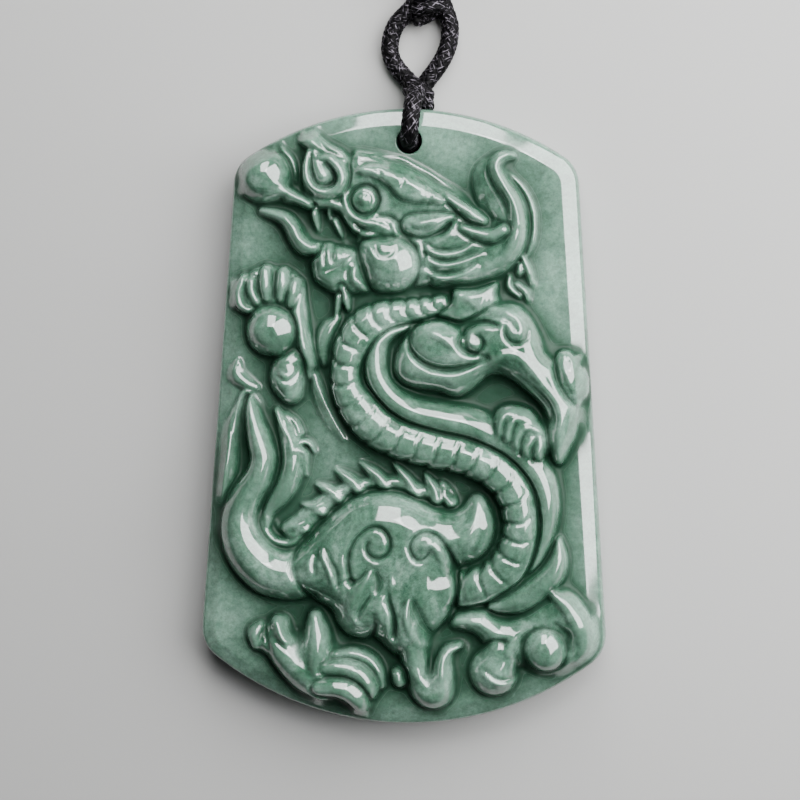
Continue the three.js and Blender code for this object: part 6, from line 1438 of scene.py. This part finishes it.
def cord_material():
    """Black cord of fine plaited threads, with painted highlights on the tops of the threads."""
    material, tree, shader, add = node_material("black_cord")
    uv = add("ShaderNodeUVMap", uv_map="UVMap")
    split = add("ShaderNodeSeparateXYZ")
    tree.links.new(uv.outputs["UV"], split.inputs["Vector"])
    def maths(operation, first, second):
        node = add("ShaderNodeMath", operation=operation)
        for socket, value in zip(node.inputs, (first, second)):
            if isinstance(value, (int, float)):
                socket.default_value = value
            else:
                tree.links.new(value, socket)
        return node.outputs[0]
    around = maths("MULTIPLY", split.outputs["X"], float(BRAID_STRANDS))
    along = maths("DIVIDE", split.outputs["Y"], BRAID_PITCH)
    right = maths("ADD", around, along)
    left = maths("SUBTRACT", around, along)
    def strokes(across, lengthwise):
        join = add("ShaderNodeCombineXYZ")
        tree.links.new(maths("MULTIPLY", across, THREADS_A_STRAND), join.inputs["X"])
        tree.links.new(maths("MULTIPLY", lengthwise, THREADS_ALONG), join.inputs["Y"])
        node = add("ShaderNodeTexNoise")
        node.inputs["Scale"].default_value = 1.0
        node.inputs["Detail"].default_value = 1.0
        tree.links.new(join.outputs["Vector"], node.inputs["Vector"])
        return node.outputs["Fac"]
    threads = maths("MAXIMUM", strokes(right, left), strokes(left, right))
    bump = add("ShaderNodeBump")
    bump.inputs["Strength"].default_value = 1.0
    bump.inputs["Distance"].default_value = 0.12 * MM
    tree.links.new(threads, bump.inputs["Height"])
    tree.links.new(bump.outputs["Normal"], shader.inputs["Normal"])
    # painted highlight: the highest parts of the threads turn grey
    thread_highlight = add("ShaderNodeValToRGB")
    ramp(thread_highlight, [(0.0, CORD_BLACK), (0.62, CORD_BLACK), (0.72, CORD_PAINTED_HIGHLIGHT)])
    tree.links.new(threads, thread_highlight.inputs["Fac"])
    tree.links.new(thread_highlight.outputs["Color"], shader.inputs["Base Color"])
    shader.inputs["Roughness"].default_value = 0.5
    shader.inputs["Specular IOR Level"].default_value = 0.07
    return material


def make_floor():
    """Plain pale floor under the pendant."""
    size = FLOOR_HALF_SIZE
    corners = [(-size, -size, 0), (size, -size, 0), (size, size, 0), (-size, size, 0)]
    floor = new_object("floor", corners, [(0, 1, 2, 3)])
    floor.location.z = -FLOOR_DEPTH * MM
    material, _, shader, _ = node_material("floor")
    shader.inputs["Base Color"].default_value = FLOOR_GREY
    shader.inputs["Roughness"].default_value = 0.9
    floor.data.materials.append(material)


def softbox(name, place, aim, size, power):
    """A rectangular soft light."""
    data = bpy.data.lights.new(name, "AREA")
    data.shape = "RECTANGLE"
    data.size, data.size_y = size[0] * MM, size[1] * MM
    data.energy = power
    light = bpy.data.objects.new(name, data)
    bpy.context.scene.collection.objects.link(light)
    light.location = Vector(place) * MM
    light.rotation_mode = "QUATERNION"
    light.rotation_quaternion = (Vector(aim) - Vector(place)).to_track_quat("-Z", "Y")


def around(azimuth, from_top, distance):
    """Place round the tablet: degrees anticlockwise from +X, degrees from straight up."""
    azimuth, from_top = math.radians(azimuth), math.radians(from_top)
    flat = math.sin(from_top) * distance
    return (flat * math.cos(azimuth), flat * math.sin(azimuth), math.cos(from_top) * distance)


def make_lights():
    """Soft studio light: a big softbox to the right, one past the hole end, and a weak fill."""
    softbox("right_softbox", around(29, 50, 190), LIGHT_AIM, (226, 210), 1.62)
    softbox("top_softbox", around(89.3, 50, 250), LIGHT_AIM, (118, 240), 0.9)
    softbox("left_fill", around(200, 50, 420), LIGHT_AIM, (300, 300), 0.05)
    world = bpy.data.worlds.new("world")
    bpy.context.scene.world = world
    world.use_nodes = True
    background = world.node_tree.nodes["Background"]
    background.inputs["Color"].default_value = (0.85, 0.95, 1.0, 1.0)
    background.inputs["Strength"].default_value = 0.03


def dress(piece, material, slot, *nodes):
    """Gives a piece its material, attaches it to the root and hides the CAD nodes that it stands for."""
    piece.data.materials.clear()
    piece.data.materials.append(material)
    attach(piece, "root")
    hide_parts(*nodes)


make_camera()
black = cord_material()
cord, cord_path = make_cord()
dress(cord, black, "cord", "cord_front", "cord_back", "cord_left", "cord_right",
      "cord_lead_out", "cord_lead_in", "cord_coil")
lower_wraps = wrap_points(LOWER_KNOT_CENTRE, reach=(0.95, 0.95), turns=2.1, pitch=0.95, lean=0.5, start=200)
lower_knot = braided_tube("lower_knot", lower_wraps, LOWER_KNOT_STRAND)
dress(lower_knot, black, "cord", "knot_lower")
upper_wraps = wrap_points(UPPER_KNOT_CENTRE, reach=(1.15, 0.85), turns=2.9, pitch=1.0, lean=-0.35, start=160)
upper_knot = braided_tube("upper_knot", upper_wraps, UPPER_KNOT_STRAND)
dress(upper_knot, black, "cord", "knot_upper")
[c * MM for c in cord_route()[0]]

sheet = Carving()
carve(sheet)
tablet = make_tablet(sheet)
dress(tablet, jade_material(), "jade", "jade_tablet")

make_floor()
make_lights()
